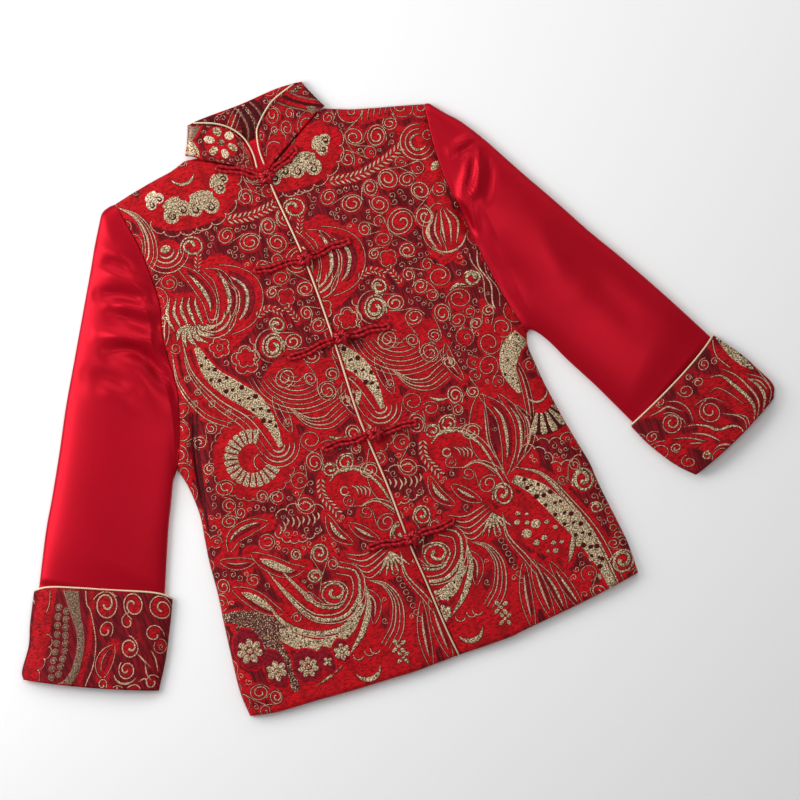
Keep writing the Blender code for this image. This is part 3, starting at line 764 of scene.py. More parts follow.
# spirals, rows of u, v, radius, turns, start in degrees, hand, half width
spiralTable = [
    (-95, 178, 11, 1.1, 130, -1, 1.3), (-60, 176, 8, 1.3, 90, 1, 0.6), (-40, 162, 10, 1.7, 60, 1, 0.7),
    (-17, 170, 8.5, 1.8, 120, -1, 0.65), (-14, 151, 9.5, 1.5, 200, 1, 0.65), (-28, 206, 8, 1.3, 0, 1, 0.6),
    (-14, 224, 9.5, 1.5, 250, -1, 0.65), (7, 217, 10.5, 1.8, 20, 1, 0.7), (24, 223, 7, 1.4, 180, 1, 0.55),
    (3, 172, 10.5, 1.7, 150, -1, 0.8), (20, 165, 8, 1.5, 60, 1, 0.6), (29, 150, 9.5, 1.4, 200, -1, 0.9),
    (-1, 128, 14, 1.9, 40, 1, 0.8), (23, 124, 10, 1.6, 0, -1, 0.9),
    (-37, 134, 7, 1.3, 0, 1, 0.6), (-55, 57, 12, 1.8, 20, 1, 1.5), (-43, 75, 8, 1.2, 200, -1, 1.4),
    (-34, 54, 8.5, 1.4, 280, 1, 0.9), (-5, 60, 7.5, 1.3, 90, -1, 0.7), (-37, 107, 5.5, 1.3, 90, 1, 0.7),
    (-12, 76, 6.5, 1.3, 0, 1, 0.7), (-4, 99, 8, 1.4, 230, -1, 0.8),
    (-22, 34, 9, 1.5, 60, 1, 0.7), (6, 28, 9, 1.6, 0, 1, 0.7),
    (-55, 22, 10.5, 1.4, 90, 1, 0.7), (-31, 13, 6.5, 1.4, 200, -1, 0.6), (-9, 10, 7, 1.5, 300, 1, 0.6),
    (-20, -5, 10, 1.7, 100, 1, 0.6), (-57, -66, 9.5, 1.7, 0, 1, 0.65), (-45, -79, 7.5, 1.3, 60, -1, 1.1),
    (-29, -78, 9.5, 1.5, 90, 1, 1.1), (-80, -104, 9.5, 1.5, 200, 1, 0.65), (-150, -59, 9, 1.3, 60, 1, 0.6),
    (-5, -21, 6, 1.3, 80, -1, 1.0), (-11, -53, 8.5, 1.6, 0, 1, 0.9), (7, -57, 6, 1.3, 180, 1, 0.8),
    (-158, -36, 6, 1.2, 90, 1, 0.6), (-157, -8, 7, 1.4, 180, -1, 0.6),
    (-141, 2, 6, 1.2, 270, 1, 0.6), (-118, -80, 6.5, 1.2, 0, 1, 0.6), (-104, -86, 7, 1.2, 180, -1, 0.6),
    (-158, -92, 7, 1.3, 60, 1, 0.6), (-107, -146, 5.5, 1.5, 0, 1, 0.8), (-84, -154, 9.5, 1.4, 120, -1, 1.2),
    (-97, -173, 7, 1.3, 60, 1, 1.3), (-76, -168, 6, 1.2, 0, -1, 0.6), (-85, -196, 14, 1.5, 60, -1, 1.3),
    (-12, -148, 9, 1.05, 90, 1, 0.6), (-110, -190, 5, 1.2, 0, 1, 0.5), (-1, -163, 11, 1.4, 120, -1, 1.4),
    (79, -178, 11.5, 1.4, 120, -1, 1.7), (76, -160, 6, 1.2, 0, 1, 0.6), (87, -268, 12, 1.5, 90, -1, 1.6),
    (54, -288, 8, 1.2, 200, 1, 0.8), (81, -208, 6, 1.0, 60, -1, 1.2),
    (-190, -262, 9, 1.5, 60, 1, 0.6), (-176, -272, 7, 1.4, 0, -1, 0.6),
    (-186, -150, 7, 1.1, 0, 1, 0.6), (46, 50, 8, 1.0, 60, -1, 1.7), (-9, -93, 9, 1.5, 60, 1, 0.8),
    (50, 14, 6, 1.3, 60, 1, 0.8), (34, 6, 6, 1.3, 160, -1, 0.8), (-150, 118, 5, 1.2, 90, 1, 0.6),
    (-75, 262, 6, 1.3, 0, 1, 0.6), (62, 150, 8, 1.4, 60, 1, 0.7), (71, 190, 8, 1.4, 160, -1, 0.7),
    (75, 120, 9, 1.5, 0, 1, 0.7), (70, 66, 8, 1.5, 90, -1, 0.7), (84, 30, 9, 1.6, 20, 1, 0.7),
]
for row in spiralTable:
    spiral(*row)

# shell of curled lobes under the shoulder, with its cloud line
for row in ((-115, 236, 8, -1.2, 1.2, "bright"), (-98, 220, 12, -1.35, 1.12), (-70, 216, 12.5, -1.75, 1.35),
            (-48.5, 229, 9, -0.6, 1.1)):
    shellLobe(*row)
for row in ((-140, 236, 12), (-86, 240, 20), (-66, 246, 16), (-100, 246, 14), (-45, 244, 8)):
    patch("clear", *row)
lay("clear", [(-122, 230), (-114, 216), (-96, 207), (-66, 205), (-44, 214), (-36, 232)], 10.5)
scallops([(-124, 216), (-116, 203), (-97, 196), (-66, 194), (-44, 203), (-33, 216), (-27, 236)],
         17, 0.6, 0.3, side=-1)
crescent(-79, 252, 13, 200, 335, 2.1)
scallops([(-98, 194), (-84, 192), (-70, 193)], 9, 0.6, side=-1)

# plume beside the armhole, nested bows below it
bands([(-150, 240), (-136, 226), (-130, 205), (-134, 184), (-145, 172)], (-9, -5, 0, 4), (0.6, 1.5, 0.6, 0.7))
bows(-121, 184, 195, 345, ((8, 1.5), (13, 1.5), (18, 1.0), (23, 0.9)))
disc("gold", -121, 185, 5.5, 0, 0.8)
lay("red area", [(-122, 180), (-120, 180)], 14)
fern([(-53, 190), (-25, 186), (3, 190), (22, 196)], 7.5, 1.6)
fern([(-100, 152), (-93, 166)], 5, 1.0)

# lily: petals that rise from one foot, striped with pointed strokes
petal([(-90, 84), (-66, 98), (-58, 122), (-78, 150)], 13, ((0.8, 0.9), (0.25, 3.0)))
petal([(-100, 92), (-82, 112), (-80, 138), (-92, 152)], 9, ((-0.2, 2.6),))
petal([(-104, 100), (-98, 122), (-104, 146), (-115, 164)], 8, ((0.1, 2.5),))
for k in range(5):
    wedge([(-141 + 7.2 * k, 104 - k), (-143 + 7.6 * k, 122), (-134 + 6.2 * k, 138 - 2 * k)], 2.2)
bows(-100, 108, 215, 350, ((6, 1.4), (12, 1.7), (18, 1.5), (24, 0.9)))
lay("red area", [(-112, 104), (-90, 100)], 20)
# painted shade: two dark maroon strokes along the trough beside the right armpit stand for the fold's shadow
for points, half in (([(-147, 26), (-156, 4), (-165, -26), (-173, -60), (-181, -96)], 1.8),
                     ([(-154, 22), (-163, -4), (-171, -34), (-178, -70)], 1.1)):
    lay("maroon", points, half * lens(0.5))
for a in np.radians(192 + 25 * np.arange(6)):
    wedge([(-120, 107) + 4 * heading(a), (-123, 106) + heading(a) * (14, 13),
           (-121, 106) + heading(a + 0.3) * (25, 24)], 2.9)
petal([(-155, 96), (-150, 112), (-144, 124)], 5, ((0, 1.2),))

flowerOutline(-105, 74, 10.5, 5, 0.3, 0.75, 0.35)
flowerOutline(-85, 53, 14.5, 5, 0.1, 0.75, 0.0)
flowerOutline(-84, 55, 10.0, 5, 0.1, 0.6, 0.0)
flowerOutline(-25, 98, 9, 4, 0.6)
fern([(-60, 90), (-46, 93), (-36, 86)], 5.5, 1.2)
fern([(-22, 70), (-27, 86)], 5, 1.2)
scallops([(-76, 44), (-70, 60), (-72, 72)], 8, 0.7)
bow(-55, 57, 17, 60, 250, 0.8)

# dotted swash that narrows into a hook, with its red bands
goldField([(-127, 82), (-122, 52), (-106, 28), (-91, 8), (-84, -16), (-83, -40)],
          (2.5, 7.5, 10, 9.5, 6, 2.2), 24, 2.4, seed=4)
flowerOutline(-93, 18, 5, 5, 0.2, 0.5)
bands([(-138, 92), (-139, 60), (-124, 26), (-102, -4), (-91, -38)], (0, -6, -12), (1.1, 0.55, 0.7), 4)
bands([(-152, 84), (-155, 52), (-142, 18), (-120, -2)], (0, -4.5), (0.6, 0.9), 4)
for x, y in ((-146, 56), (-141, 40), (-132, 24), (-120, 10), (-148, 30)):
    spiral(x, y, 3.6, 1.2, 90, 1, 0.5)
bows(-85, -38, 190, 352, ((6.5, 1.7), (11.5, 1.5), (16.5, 1.4), (21.5, 0.8)))
lay("red area", [(-90, -44), (-80, -44)], 20)
sun(-113, -41, 13.5, 62, 312, 17, 2.15)
arc("gold", -105, -48, 9, 100, 215, 0.8)

# flowing threads in the middle
for k in range(9):
    bow(-40 + 0.8 * k, 34 + 0.4 * k, 15 + 5.2 * k, 196 - 2 * k, 262 + 7 * k, 0.55 + 0.25 * (k % 2))
lay("red area", [(-50, 8), (-34, 2)], 34)
petal([(-72, 10), (-70, -8), (-68, -30)], 6, ((0, 0.6),))
spiral(-68, -20, 4.5, 1.4, 90)
bands([(-62, -6), (-50, -30), (-30, -40), (-8, -34)], (0, 5, 10, 15), (0.6, 1.0))
wedge([(-36, -46), (-28, -52), (-18, -54)], 2.0)
petal([(-2, -2), (-4, -20), (2, -42)], 5, ((0, 1.3),))

# peony, ferns and a feathered edge
fern([(-57, -84), (-61, -100), (-54, -120)], 6.5, 1.5)
lay("red area", [(-42, -102), (-36, -102)], 20)
arc("gold", -39, -104, 4, 20, 330, 1.3)
for k in range(4):
    wedge([(-31 + 4 * k, -101 - 1.5 * k), (-27 + 4 * k, -106 - 2 * k), (-27 + 3 * k, -112 - 2 * k)], 1.2)
bands([(-50, -90), (-38, -84), (-20, -88), (-6, -106), (0, -128), (2, -146)], (0, 6), (1.7, 0.8))
fringe([(-112, -112), (-102, -108), (-88, -112), (-72, -114)], 13, -108, 1.5)
scallops([(-118, -118), (-108, -130), (-92, -134), (-74, -130)], 8, 0.8, side=-1)
scallops([(-112, -106), (-95, -102), (-76, -108), (-66, -116)], 12, 0.7)
petal([(-64, -120), (-62, -140), (-50, -156)], 6, ((0.1, 2.6),))
petal([(-46, -136), (-36, -150), (-24, -162)], 6, ((0.1, 2.0),))
bands([(-30, -124), (-14, -124), (0, -138), (4, -156)], (0, 5), (1.2, 0.7))
lay("red area", [(-20, -140), (-6, -146)], 20)
for k in range(5):
    drop = 5.5 * k
    wedge([(-62 + 2 * k, -162 - drop), (-44, -170 - 1.1 * drop), (-20 + k, -166 - 0.7 * drop)],
          1.0 + 0.35 * (k % 2))
for a in np.radians(228 + 15 * np.arange(6)):
    wedge([(-18, -176), (-18, -176) + heading(a) * (26, 24)], 1.8)

# leaves and the great wave at the hem
petal([(-168, -120), (-158, -108), (-140, -104), (-122, -106)], 8, ((0.25, 2.0),))
petal([(-148, -130), (-136, -144), (-120, -158), (-104, -162)], 8.5, ((0, 5.2),))
petal([(-178, -156), (-164, -170), (-150, -188), (-140, -196)], 8.5, ((0, 5.0),))
petal([(-180, -126), (-166, -134), (-148, -138)], 6, ((0, 1.0),))
bands([(-140, -150), (-128, -184), (-112, -212), (-84, -221), (-62, -206), (-57, -184), (-72, -172)],
      (-5, 0, 7), (0.8, 2.0, 1.0), 5)
bands([(-128, -152), (-116, -180), (-104, -202), (-84, -210), (-70, -198)], (0, 3.6), (1.8, 0.7), 4)
bands([(-152, -176), (-144, -206), (-122, -228), (-90, -236), (-62, -220), (-50, -190)], (0, 6), (1.0, 2.6), 6)
goldField([(-150, -212), (-134, -230), (-112, -240), (-84, -236), (-62, -216)],
          (7.5, 6.5, 5, 4, 2.2), 14, 1.2, seed=9)
goldField([(-198, -180), (-180, -186), (-164, -198), (-148, -216)], (4, 8, 11, 9), 0, ground="sparse")
goldField([(-186, -192), (-172, -212), (-160, -236), (-154, -262), (-155, -274)], (6, 13, 12, 7, 3), 12, 1.3,
          seed=10, ground="sparse")
wedge([(-94, -260), (-72, -242), (-56, -218), (-52, -196)], 3.6)
for row in ((-184, -218, 15, 22, 7, 13), (-166, -246, 11, 21, 6, 10), (-135, -254, 14.5, 17.5, 7, 10.5),
            (-115, -256, 7.5, 14, 4, 4), (-98, -252, 8.5, 12, 6, 8)):
    ovalFlower(*row)
lay("clear", [(-170, -285), (-120, -280), (-60, -288)], 14)
lay("clear", [(-80, -262), (-40, -285), (-30, -262)], 14)
crescent(-80, -276, 13, 195, 345, 3.0)
wedge([(-134, -276), (-118, -272), (-102, -266)], 1.8)
for row in ((-43, -268, 9, 4, 0.4), (-43, -280, 8, 4, 2.0)):
    petalFlower(*row)
for x in (-84, -72, -66):
    arc("gold", x, -262, 5, 160, 320, 0.8)
bands([(-48, -196), (-34, -206), (-28, -226), (-36, -250), (-52, -266)], (-9, -5, 0, 5), (0.6, 0.9))
petal([(-56, -202), (-50, -218), (-58, -238)], 6, ((0, 1.4),))
ringChain([(-20, -198), (-17, -222), (-14, -250)], 2.6)
bands([(-8, -180), (-13, -204), (-4, -232), (2, -252)], (0, 5), (0.7, 1.1))
for k in range(2):
    petal([(-20 + 22 * k, -300), (-15 + 16 * k, -264), (-6 + 9 * k, -234)], 6, ((0, 1.7),))

# second lily, drop and dotted swash beyond the first width
for points, wide, inner in (
        ([(4, -144), (-4, -110), (4, -80), (14, -60)], 10, ((-0.75, 1.2),)),
        ([(8, -146), (22, -118), (26, -88), (12, -62)], 8, ((0.2, 2.2),)),
        ([(14, -144), (32, -126), (40, -98), (30, -68)], 6, ((0.1, 2.0),)),
        ([(24, -138), (42, -122), (48, -104), (42, -84)], 5, ((0, 1.7),)),
        ([(46, -118), (54, -92), (58, -62), (56, -34)], 4, ((0, 1.0),))):
    petal(points, wide, inner)
goldField([(72, -22), (58, -30), (48, -48), (50, -74)], (9, 10, 7, 2), 10, 1.4, seed=5)
arc("maroon", 66, -88, 24, 228, 328, 11)
for a in np.radians(238 + 19.5 * np.arange(5)):
    lay("ground", [(66, -88) + 13 * heading(a), (66, -88) + 34 * heading(a)],
        (1.1, 1.9, 2.7, 3.5, 3.9, 2.4), 1, 1.2)
lay("red area", [(56, -96), (76, -96)], 30)
bow(66, -78, 11, 190, 350, 1.6)
goldField([(14, -152), (32, -170), (46, -196), (58, -226), (66, -260), (70, -296)],
          (4, 8.5, 10, 8.5, 5, 4), 34, 2.5, seed=6)
bands([(20, -142), (44, -158), (62, -194), (76, -236), (82, -296)], (0, -6, -11), (0.8, 1.7, 0.7), 5)
lay("clear", [(6, -186), (22, -212), (38, -226)], 20)
for row in ((6, -186, 2.7), (2, -194, 3.1), (11, -198, 2.7), (19, -202, 5.1), (7, -208, 5.3),
            (14, -190, 2.1), (30, -204, 2.7), (36, -212, 2.7), (22, -218, 3.1), (13, -220, 3.5),
            (29, -226, 2.7), (28, -234, 2.9), (37, -228, 2.3), (21, -232, 2.0)):
    disc("gold", *row)
wedge([(52, -222), (44, -238), (36, -250)], 3.0)
for x, y in ((51, -236), (58, -254), (60, -274)):
    disc("gold", x, y, 3.6, 1, 0.7, np.pi / 2)
for k in range(2):
    petal([(6 + 13 * k, -240 - 3 * k), (14 + 11 * k, -268), (16 + 17 * k, -300)], 5.5, ((0, 1.8),))
scallops([(34, -126), (52, -140), (56, -154), (76, -158), (96, -150)], 11, 0.8)
scallops([(40, -118), (60, -132), (84, -132)], 12, 0.7)
ringChain([(90, -180), (92, -204), (90, -232), (94, -250)], 3.2, 0.6)

# rings and bows beside the second armhole, the striped bud, water lines
bows(44, 196, 60, 320, ((8, 1.8), (13, 1.0), (18, 1.2)))
lay("red area", [(43, 196), (45, 196)], 20)
disc("gold", 51, 168, 5.5, 0, 0.75, 0.6)
lay("red area", [(40, 168), (52, 160)], 12)
petal([(30, 82), (24, 104), (36, 126), (44, 128)], 9, ((0.3, 1.4),))
for k in range(5):
    wedge([(24 + 5 * k, 92 - 2 * abs(k - 2)), (20 + 8.2 * k, 108), (34 + 3.2 * k, 124)], 1.7)
bow(38, 102, 20, 200, 340, 1.7)
lay("red area", [(36, 100), (40, 106)], 20)
for x in (54, 59, 64):
    t = np.linspace(0, 1, 14)
    lay("gold", np.stack([x + 2.5 * np.sin(9 * t + x), 74 - 60 * t], 1), 0.7 + 0.5 * (x == 59))
wedge([(20, 46), (30, 49), (38, 46)], 2.2)
for k in range(5):
    wedge([(-2 + 6 * k, 234), (4 + 7 * k, 246), (18 + 8 * k, 256)], 0.8)


# curls that fill what the motifs leave, and the field of red and maroon ground
fillSet = {
    "seed": 12, "step": 1.4, "reach": 14,       # grid on which room is sought, and how far it looks
    "scroll": (4.8, 12),   # smallest and largest radius
    "hook": (2.2, 3.6),
    "kinds": (0.5, 0.35, 0.15),         # shares of wound scrolls, rings and double rings
    "scrollHalf": 0.46, "hookHalf": 0.4,
    "gap": 0.3,
    "tuck": 0.3,           # share of its radius that a scroll slips behind an earlier one
    "vine": (0.6, 9.0),    # narrowest and widest gap that a vine crosses between two scrolls
}


def spread(shapes, box, step, reach):
    # for every cell of a grid, how deep it lies inside the nearest stroke, or minus how far it is outside
    across = np.arange(box[0], box[1] + step, step)
    up = np.arange(box[2], box[3] + step, step)
    field = np.full((len(up), len(across)), -float(reach))
    for line, half in shapes:
        edge = half.max() + reach
        c0, c1 = np.searchsorted(across, (line[:, 0].min() - edge, line[:, 0].max() + edge))
        r0, r1 = np.searchsorted(up, (line[:, 1].min() - edge, line[:, 1].max() + edge))
        if c1 > c0 and r1 > r0:
            dx = across[c0:c1][None, :, None] - line[:, 0]
            dy = up[r0:r1][:, None, None] - line[:, 1]
            inside = (half - np.sqrt(dx ** 2 + dy ** 2)).max(axis=2)
            field[r0:r1, c0:c1] = np.maximum(field[r0:r1, c0:c1], inside)
    return across, up, field


def sampleGrid(field, across, up, uv):
    # bilinear value of a regular grid at any points
    c = np.clip((uv[..., 0] - across[0]) / (across[1] - across[0]), 0, len(across) - 1.001)
    r = np.clip((uv[..., 1] - up[0]) / (up[1] - up[0]), 0, len(up) - 1.001)
    c0, r0 = c.astype(int), r.astype(int)
    fc, fr = c - c0, r - r0
    if field.ndim == 3:
        fc, fr = fc[..., None], fr[..., None]
    return ((field[r0, c0] * (1 - fc) + field[r0, c0 + 1] * fc) * (1 - fr)
            + (field[r0 + 1, c0] * (1 - fc) + field[r0 + 1, c0 + 1] * fc) * fr)


def vines(rounds, free, across, up):
    # S between a round and the two nearest: the tangent that crosses from one side of their line to the other
    rounds, made = np.array(rounds), set()
    for k, (x, y, radius) in enumerate(rounds):
        apart = np.hypot(rounds[:, 0] - x, rounds[:, 1] - y)
        gap = np.where(np.arange(len(rounds)) == k, 99, apart - radius - rounds[:, 2])
        for near in np.argsort(gap)[:2]:
            if not fillSet["vine"][0] < gap[near] < fillSet["vine"][1] or (near, k) in made:
                continue
            made.add((k, near))
            ahead = np.arctan2(rounds[near, 1] - y, rounds[near, 0] - x)
            out = heading(ahead + (-1) ** (k + near) * np.arccos((radius + rounds[near, 2]) / apart[near]))
            line = np.array([(x, y) + radius * out, rounds[near, :2] - rounds[near, 2] * out])
            if sampleGrid(free, across, up, line.mean(axis=0)) > -1.2:
                lay("gold", line, patternSet["thin"])


def fillCurls(scrolls, hooks, rounds=()):
    # scrolls on red, each set against a neighbour, then fine hooks that crowd the maroon between them;
    # free says how far every place is from the nearest stroke, and fromScroll from the nearest scroll
    setting = fillSet
    draw = np.random.default_rng(setting["seed"])
    place = (cloth["box"], setting["step"], setting["reach"])
    strokes = [row[:2] for row in cloth["strokes"]]
    across, up, field = spread(strokes + cloth["clear"], *place)
    free = -field
    fromRed = -spread(cloth["red"], *place)[2]
    xs, ys = np.meshgrid(across, up)
    sizes = np.r_[np.sort(draw.uniform(*setting["scroll"], scrolls))[::-1],
                  np.sort(draw.uniform(*setting["hook"], hooks))[::-1]]
    fromScroll = np.full(free.shape, 99.0)
    placed = []
    for k, radius in enumerate(sizes):
        big = k < scrolls
        if k == scrolls:
            before = len(cloth["strokes"])
            vines(list(rounds) + placed, free, across, up)
            joins = [row[:2] for row in cloth["strokes"][before:]]
            free = np.minimum.reduce([free, fromRed, fromScroll, -spread(joins, *place)[2]])
        need = radius + setting["gap"]
        room = np.minimum(free, fromScroll + setting["tuck"] * radius) if big else free
        rows, columns = np.nonzero((room > need) & (room < need + setting["step"]))
        if len(rows) == 0:
            continue
        pick = draw.integers(len(rows))
        x, y = xs[rows[pick], columns[pick]], ys[rows[pick], columns[pick]]
        start, hand, thick = draw.uniform(0, 360), 1 if draw.random() < 0.5 else -1, draw.uniform(0.85, 1.2)
        away = np.hypot(xs - x, ys - y) - radius
        if big:
            cloth["before"] = [(x1, y1, r1) for x1, y1, r1 in placed
                               if np.hypot(x1 - x, y1 - y) < radius * 1.5 + r1]
            kind = draw.choice(3, p=setting["kinds"])
            scroll(x, y, radius, kind, start, hand, setting["scrollHalf"] * thick)
            cloth["before"] = []
            placed.append((x, y, radius + 0.3))
            fromScroll = np.minimum(fromScroll, away)
        else:
            spiral(x, y, radius * 0.9, 0.45, start, hand, setting["hookHalf"] * thick, red=False, tone="fine",
                   tail=0.4)
            free = np.minimum(free, away)


def dyeField(heights, biases, full=1.0):
    # red where a motif has its ground, and in slow patches elsewhere; the biases say how much red there is at
    # the heights, and full how red the reddest part is
    reach = patternSet["dyeReach"]
    across, up, field = spread(cloth["red"], cloth["box"], patternSet["dyeStep"], reach)
    xy = np.dstack(np.meshgrid(across, up))
    slow = waves(xy * (1, patternSet["patchTall"]), patternSet["patchSeed"], patternSet["patchSize"], 9)
    patches = reach * (patternSet["patchMost"] * slow + np.interp(xy[..., 1], heights, biases))
    field = np.maximum(field, np.clip(patches, -reach, reach))
    cloth["dye"] = (across, up, full * (0.5 + 0.5 * np.clip(field / reach, -1, 1)))


def dyeAt(source, uv):
    # how red a cloth's ground is, from 0 for maroon to 1
    across, up, field = source["dye"]
    return sampleGrid(field, across, up, uv)


fillCurls(190, 360, [row[:3] for row in spiralTable])
dyeField([-300, -80, 60, 300], [-0.2, -0.6, -1.3, -1.3])
bodyCloth = cloth
print("body cloth woven:", len(cloth["strokes"]), "strokes")

ribbonSet = {
    "edgeLift": 0.12, "crown": 0.26, "levelLift": 0.16,     # height of the edge, of the middle, of each level
    "crossStep": 2.4,      # width of one strip of a broad stroke
    "broad": 1.15,         # a gold stroke with a greater half width shows the grainy ground
    "shadeStrip": 0.75, "shadeStripLift": 0.02, "shadeStripMost": 3,    # painted shade: a dark strip beside a thread of less half width stands for the shadow where the cloth dips
}


def layRibbons(name, source, toCloth, onSurface, inside, shadeStrips=True):
    # every stroke becomes a low crowned ribbon: its points are carried to the cloth's own plane by toCloth,
    # kept where inside is true, and set on the surface along its normal by onSurface
    setting = ribbonSet
    parts, lifts, quads, kinds, shown, start = [], [], [], [], [], 0
    names = list(tones)
    for line, half, tone, level in source["strokes"]:
        out = leftOf(np.gradient(line, axis=0))
        columns = 2 * int(np.ceil(half.max() / setting["crossStep"])) + 1
        t = np.linspace(-1, 1, columns)
        away = half[:, None] * t
        crown = setting["edgeLift"] + setting["crown"] * (1 - np.abs(t) ** 3) + setting["levelLift"] * level
        fine = tone == "fine"
        if tone in ("gold", "fine"):
            tone = "ground" if not fine and half.max() > setting["broad"] else "thread"
        kind = np.full(columns - 1, names.index(tone))
        # painted shade: a thin thread on the first level gets a dark strip at each side, for the shadow where
        # the cloth dips
        if shadeStrips and not fine and level == 0 and half.max() < setting["shadeStripMost"]:
            away = np.hstack([away[:, :1] - setting["shadeStrip"], away, away[:, -1:] + setting["shadeStrip"]])
            crown = np.pad(crown, 1, constant_values=setting["shadeStripLift"])
            kind = np.pad(kind, 1, constant_values=names.index("shadeStrip"))
            columns += 2
        parts.append((line[:, None] + out[:, None] * away[:, :, None]).reshape(-1, 2))
        lifts.append(np.tile(crown, len(line)))
        shown.append(np.repeat(half > 0, columns))
        quads.append(gridQuads(len(line), columns) + start)
        kinds.append(np.tile(kind, len(line) - 1))
        start += len(line) * columns
    uv, lift = np.vstack(parts), np.concatenate(lifts)
    quads, kinds = np.vstack(quads), np.concatenate(kinds)
    xy = toCloth(uv)
    keep = (inside(xy) & np.concatenate(shown))[quads].all(axis=1)
    quads, kinds = quads[keep][:, ::-1], kinds[keep]
    used, fresh = np.unique(quads, return_inverse=True)
    place, normal = onSurface(xy[used])
    points = place + normal * lift[used, None]
    return addPiece(name, points, fresh.reshape(quads.shape), list(tones.values()), kinds)


def insideOutline(edge):
    # even number of crossings of a ray means outside
    a, b = edge, np.roll(edge, -1, axis=0)

    def test(xy):
        count = np.zeros(len(xy), int)
        for (x0, y0), (x1, y1) in zip(a, b):
            if y0 != y1:
                beside = (xy[:, 1] < y0) != (xy[:, 1] < y1)
                count += beside & (xy[:, 0] < x0 + (xy[:, 1] - y0) * (x1 - x0) / (y1 - y0))
        return count % 2 == 1

    return test


def onHeight(height, flip=1):
    # surface given by a height function; its normal comes from small steps in x and y
    nudge = 0.4

    def place(xy):
        z = height(xy)
        dx = (height(xy + (nudge, 0)) - z) / nudge
        dy = (height(xy + (0, nudge)) - z) / nudge
        normal = unit(np.stack([-dx, -dy, np.ones(len(xy))], 1))
        return np.column_stack([xy, z]), normal * flip

    return place


def onGrid(points, across, up):
    # surface given by a grid of points over a regular plane; its normal is the cross product of its two runs
    a, b = np.gradient(points, axis=1), np.gradient(points, axis=0)
    normal = unit(np.cross(a, b))

    def place(uv):
        return sampleGrid(points, across, up, uv), sampleGrid(normal, across, up, uv)

    return place


# the two fronts
bodyShape = {
    "frontHigh": 10.4,     # the front's surface above the floor
    "sideLevel": 1.6, "hemLevel": 3.6, "levelOver": 9,      # height of its rim, which changes over some mm
    "sideRoll": 17, "hemRoll": 5, "shoulderRoll": 15,
    # at each seam, rows of height, distance from the seam and half width
    "grooves": {"armhole": [(-1.9, 0, 3.6), (0.5, 9, 4)], "neck": [(-1.6, 0, 3.6)],
                "frontEdge": [(-0.6, 1.6, 2.2)]},
    "lapDrop": 1.2, "lapWide": 26,      # the lapped front lies lower beside the piping
    "unevenness": 0.9, "wave": 85, "relief": 0.35,
    "shell": 1.3,          # thickness of the cloth that shows at an edge
    "beside": 1.9,         # from the piping's middle to the front's edge
    "columns": 96, "rows": 240, "shift": {"Right": 0, "Left": 109},     # how far along the cloth each is cut
}


def frontEdgeX(y):
    # x of the front edge at each y
    line = smoothLine(outline["frontEdge"], 80)
    return np.interp(y, line[:, 1], line[:, 0])


def frontHeight(xy, side):
    # plateau that rolls down in quarter circles to side seam, hem and shoulder, with grooves at the seams
    shape = bodyShape
    fromSide = distanceTo(xy, smoothLine(outline["side" + side], 30))
    rise = (roundUp(fromSide, shape["sideRoll"])
            * roundUp(distanceTo(xy, np.array(outline["hem" + side]) - (0, 1.0)), shape["hemRoll"])
            * roundUp(distanceTo(xy, outline["shoulder" + side]), shape["shoulderRoll"]))
    base = shape["frontHigh"] + shape["unevenness"] * waves(xy, 3, shape["wave"]) + creaseHeight(xy)
    away = {"armhole": distanceTo(xy, smoothLine(outline["armhole" + side], 24)),
            "neck": distanceTo(xy, outline["neck" + side]),
            "frontEdge": np.abs(xy[..., 0] - frontEdgeX(xy[..., 1]))}
    for seam, rows in shape["grooves"].items():
        for height, middle, half in rows:
            base = base + height * bell(away[seam], middle, half)
    if side == "Left":
        base = base - shape["lapDrop"] * ease(1.3 - away["frontEdge"] / shape["lapWide"])
    change = shape["hemLevel"] - shape["sideLevel"]
    level = shape["sideLevel"] + change * roundUp(fromSide, shape["levelOver"])
    return level + (base - level) * rise + shape["relief"] * dyeAt(bodyCloth, xy - (shape["shift"][side], 0))


def sideSeam(side, shares):
    # from the hem up the side and round the armhole
    return smoothLine(joined((outline["side" + side], 120), (outline["armhole" + side], 120)), shares)


def buildFront(side):
    shape = bodyShape
    turned = side == "Left"
    shift, hem = (shape["shift"][side], 0), outline["hem" + side]
    uShares, vShares = nearEnds(shape["columns"], 0.35), nearEnds(shape["rows"], 0.3)
    start = sideSeam(side, vShares)
    end = smoothLine(outline["frontEdge"], vShares) + (shape["beside"] if turned else -shape["beside"], 0)
    top = smoothLine(joined((outline["shoulder" + side], 60), (outline["neck" + side], 60)), uShares)
    low = smoothLine(hem[::-1] if turned else hem, uShares)
    low[-1], top[-1] = end[0], end[-1]
    xy = fillGrid(low, top, start, end, uShares, vShares)
    points = np.dstack([xy, frontHeight(xy, side)])
    if turned:
        points, xy = points[:, ::-1], xy[:, ::-1]
    piece = addCloth("brocadeFront" + side, points, shape["shell"], brocade)
    setAttribute(piece, "dye", dyeAt(bodyCloth, xy - shift))
    pattern = layRibbons("lurexFront" + side, bodyCloth, lambda uv: uv + shift,
                         onHeight(lambda at: frontHeight(at, side)), insideOutline(rimOf(xy)[::3]))
    settle(piece, "front_" + side.lower())
    settle(pattern, None)


for side in ("Right", "Left"):
    buildFront(side)
print("fronts made")

# the back, flat on the floor
backShape = {
    "low": 1.15, "thick": 1.2, "inward": 0.7, "columns": 96, "rows": 128,
    "repeat": 320,         # the pattern starts again this far across
}


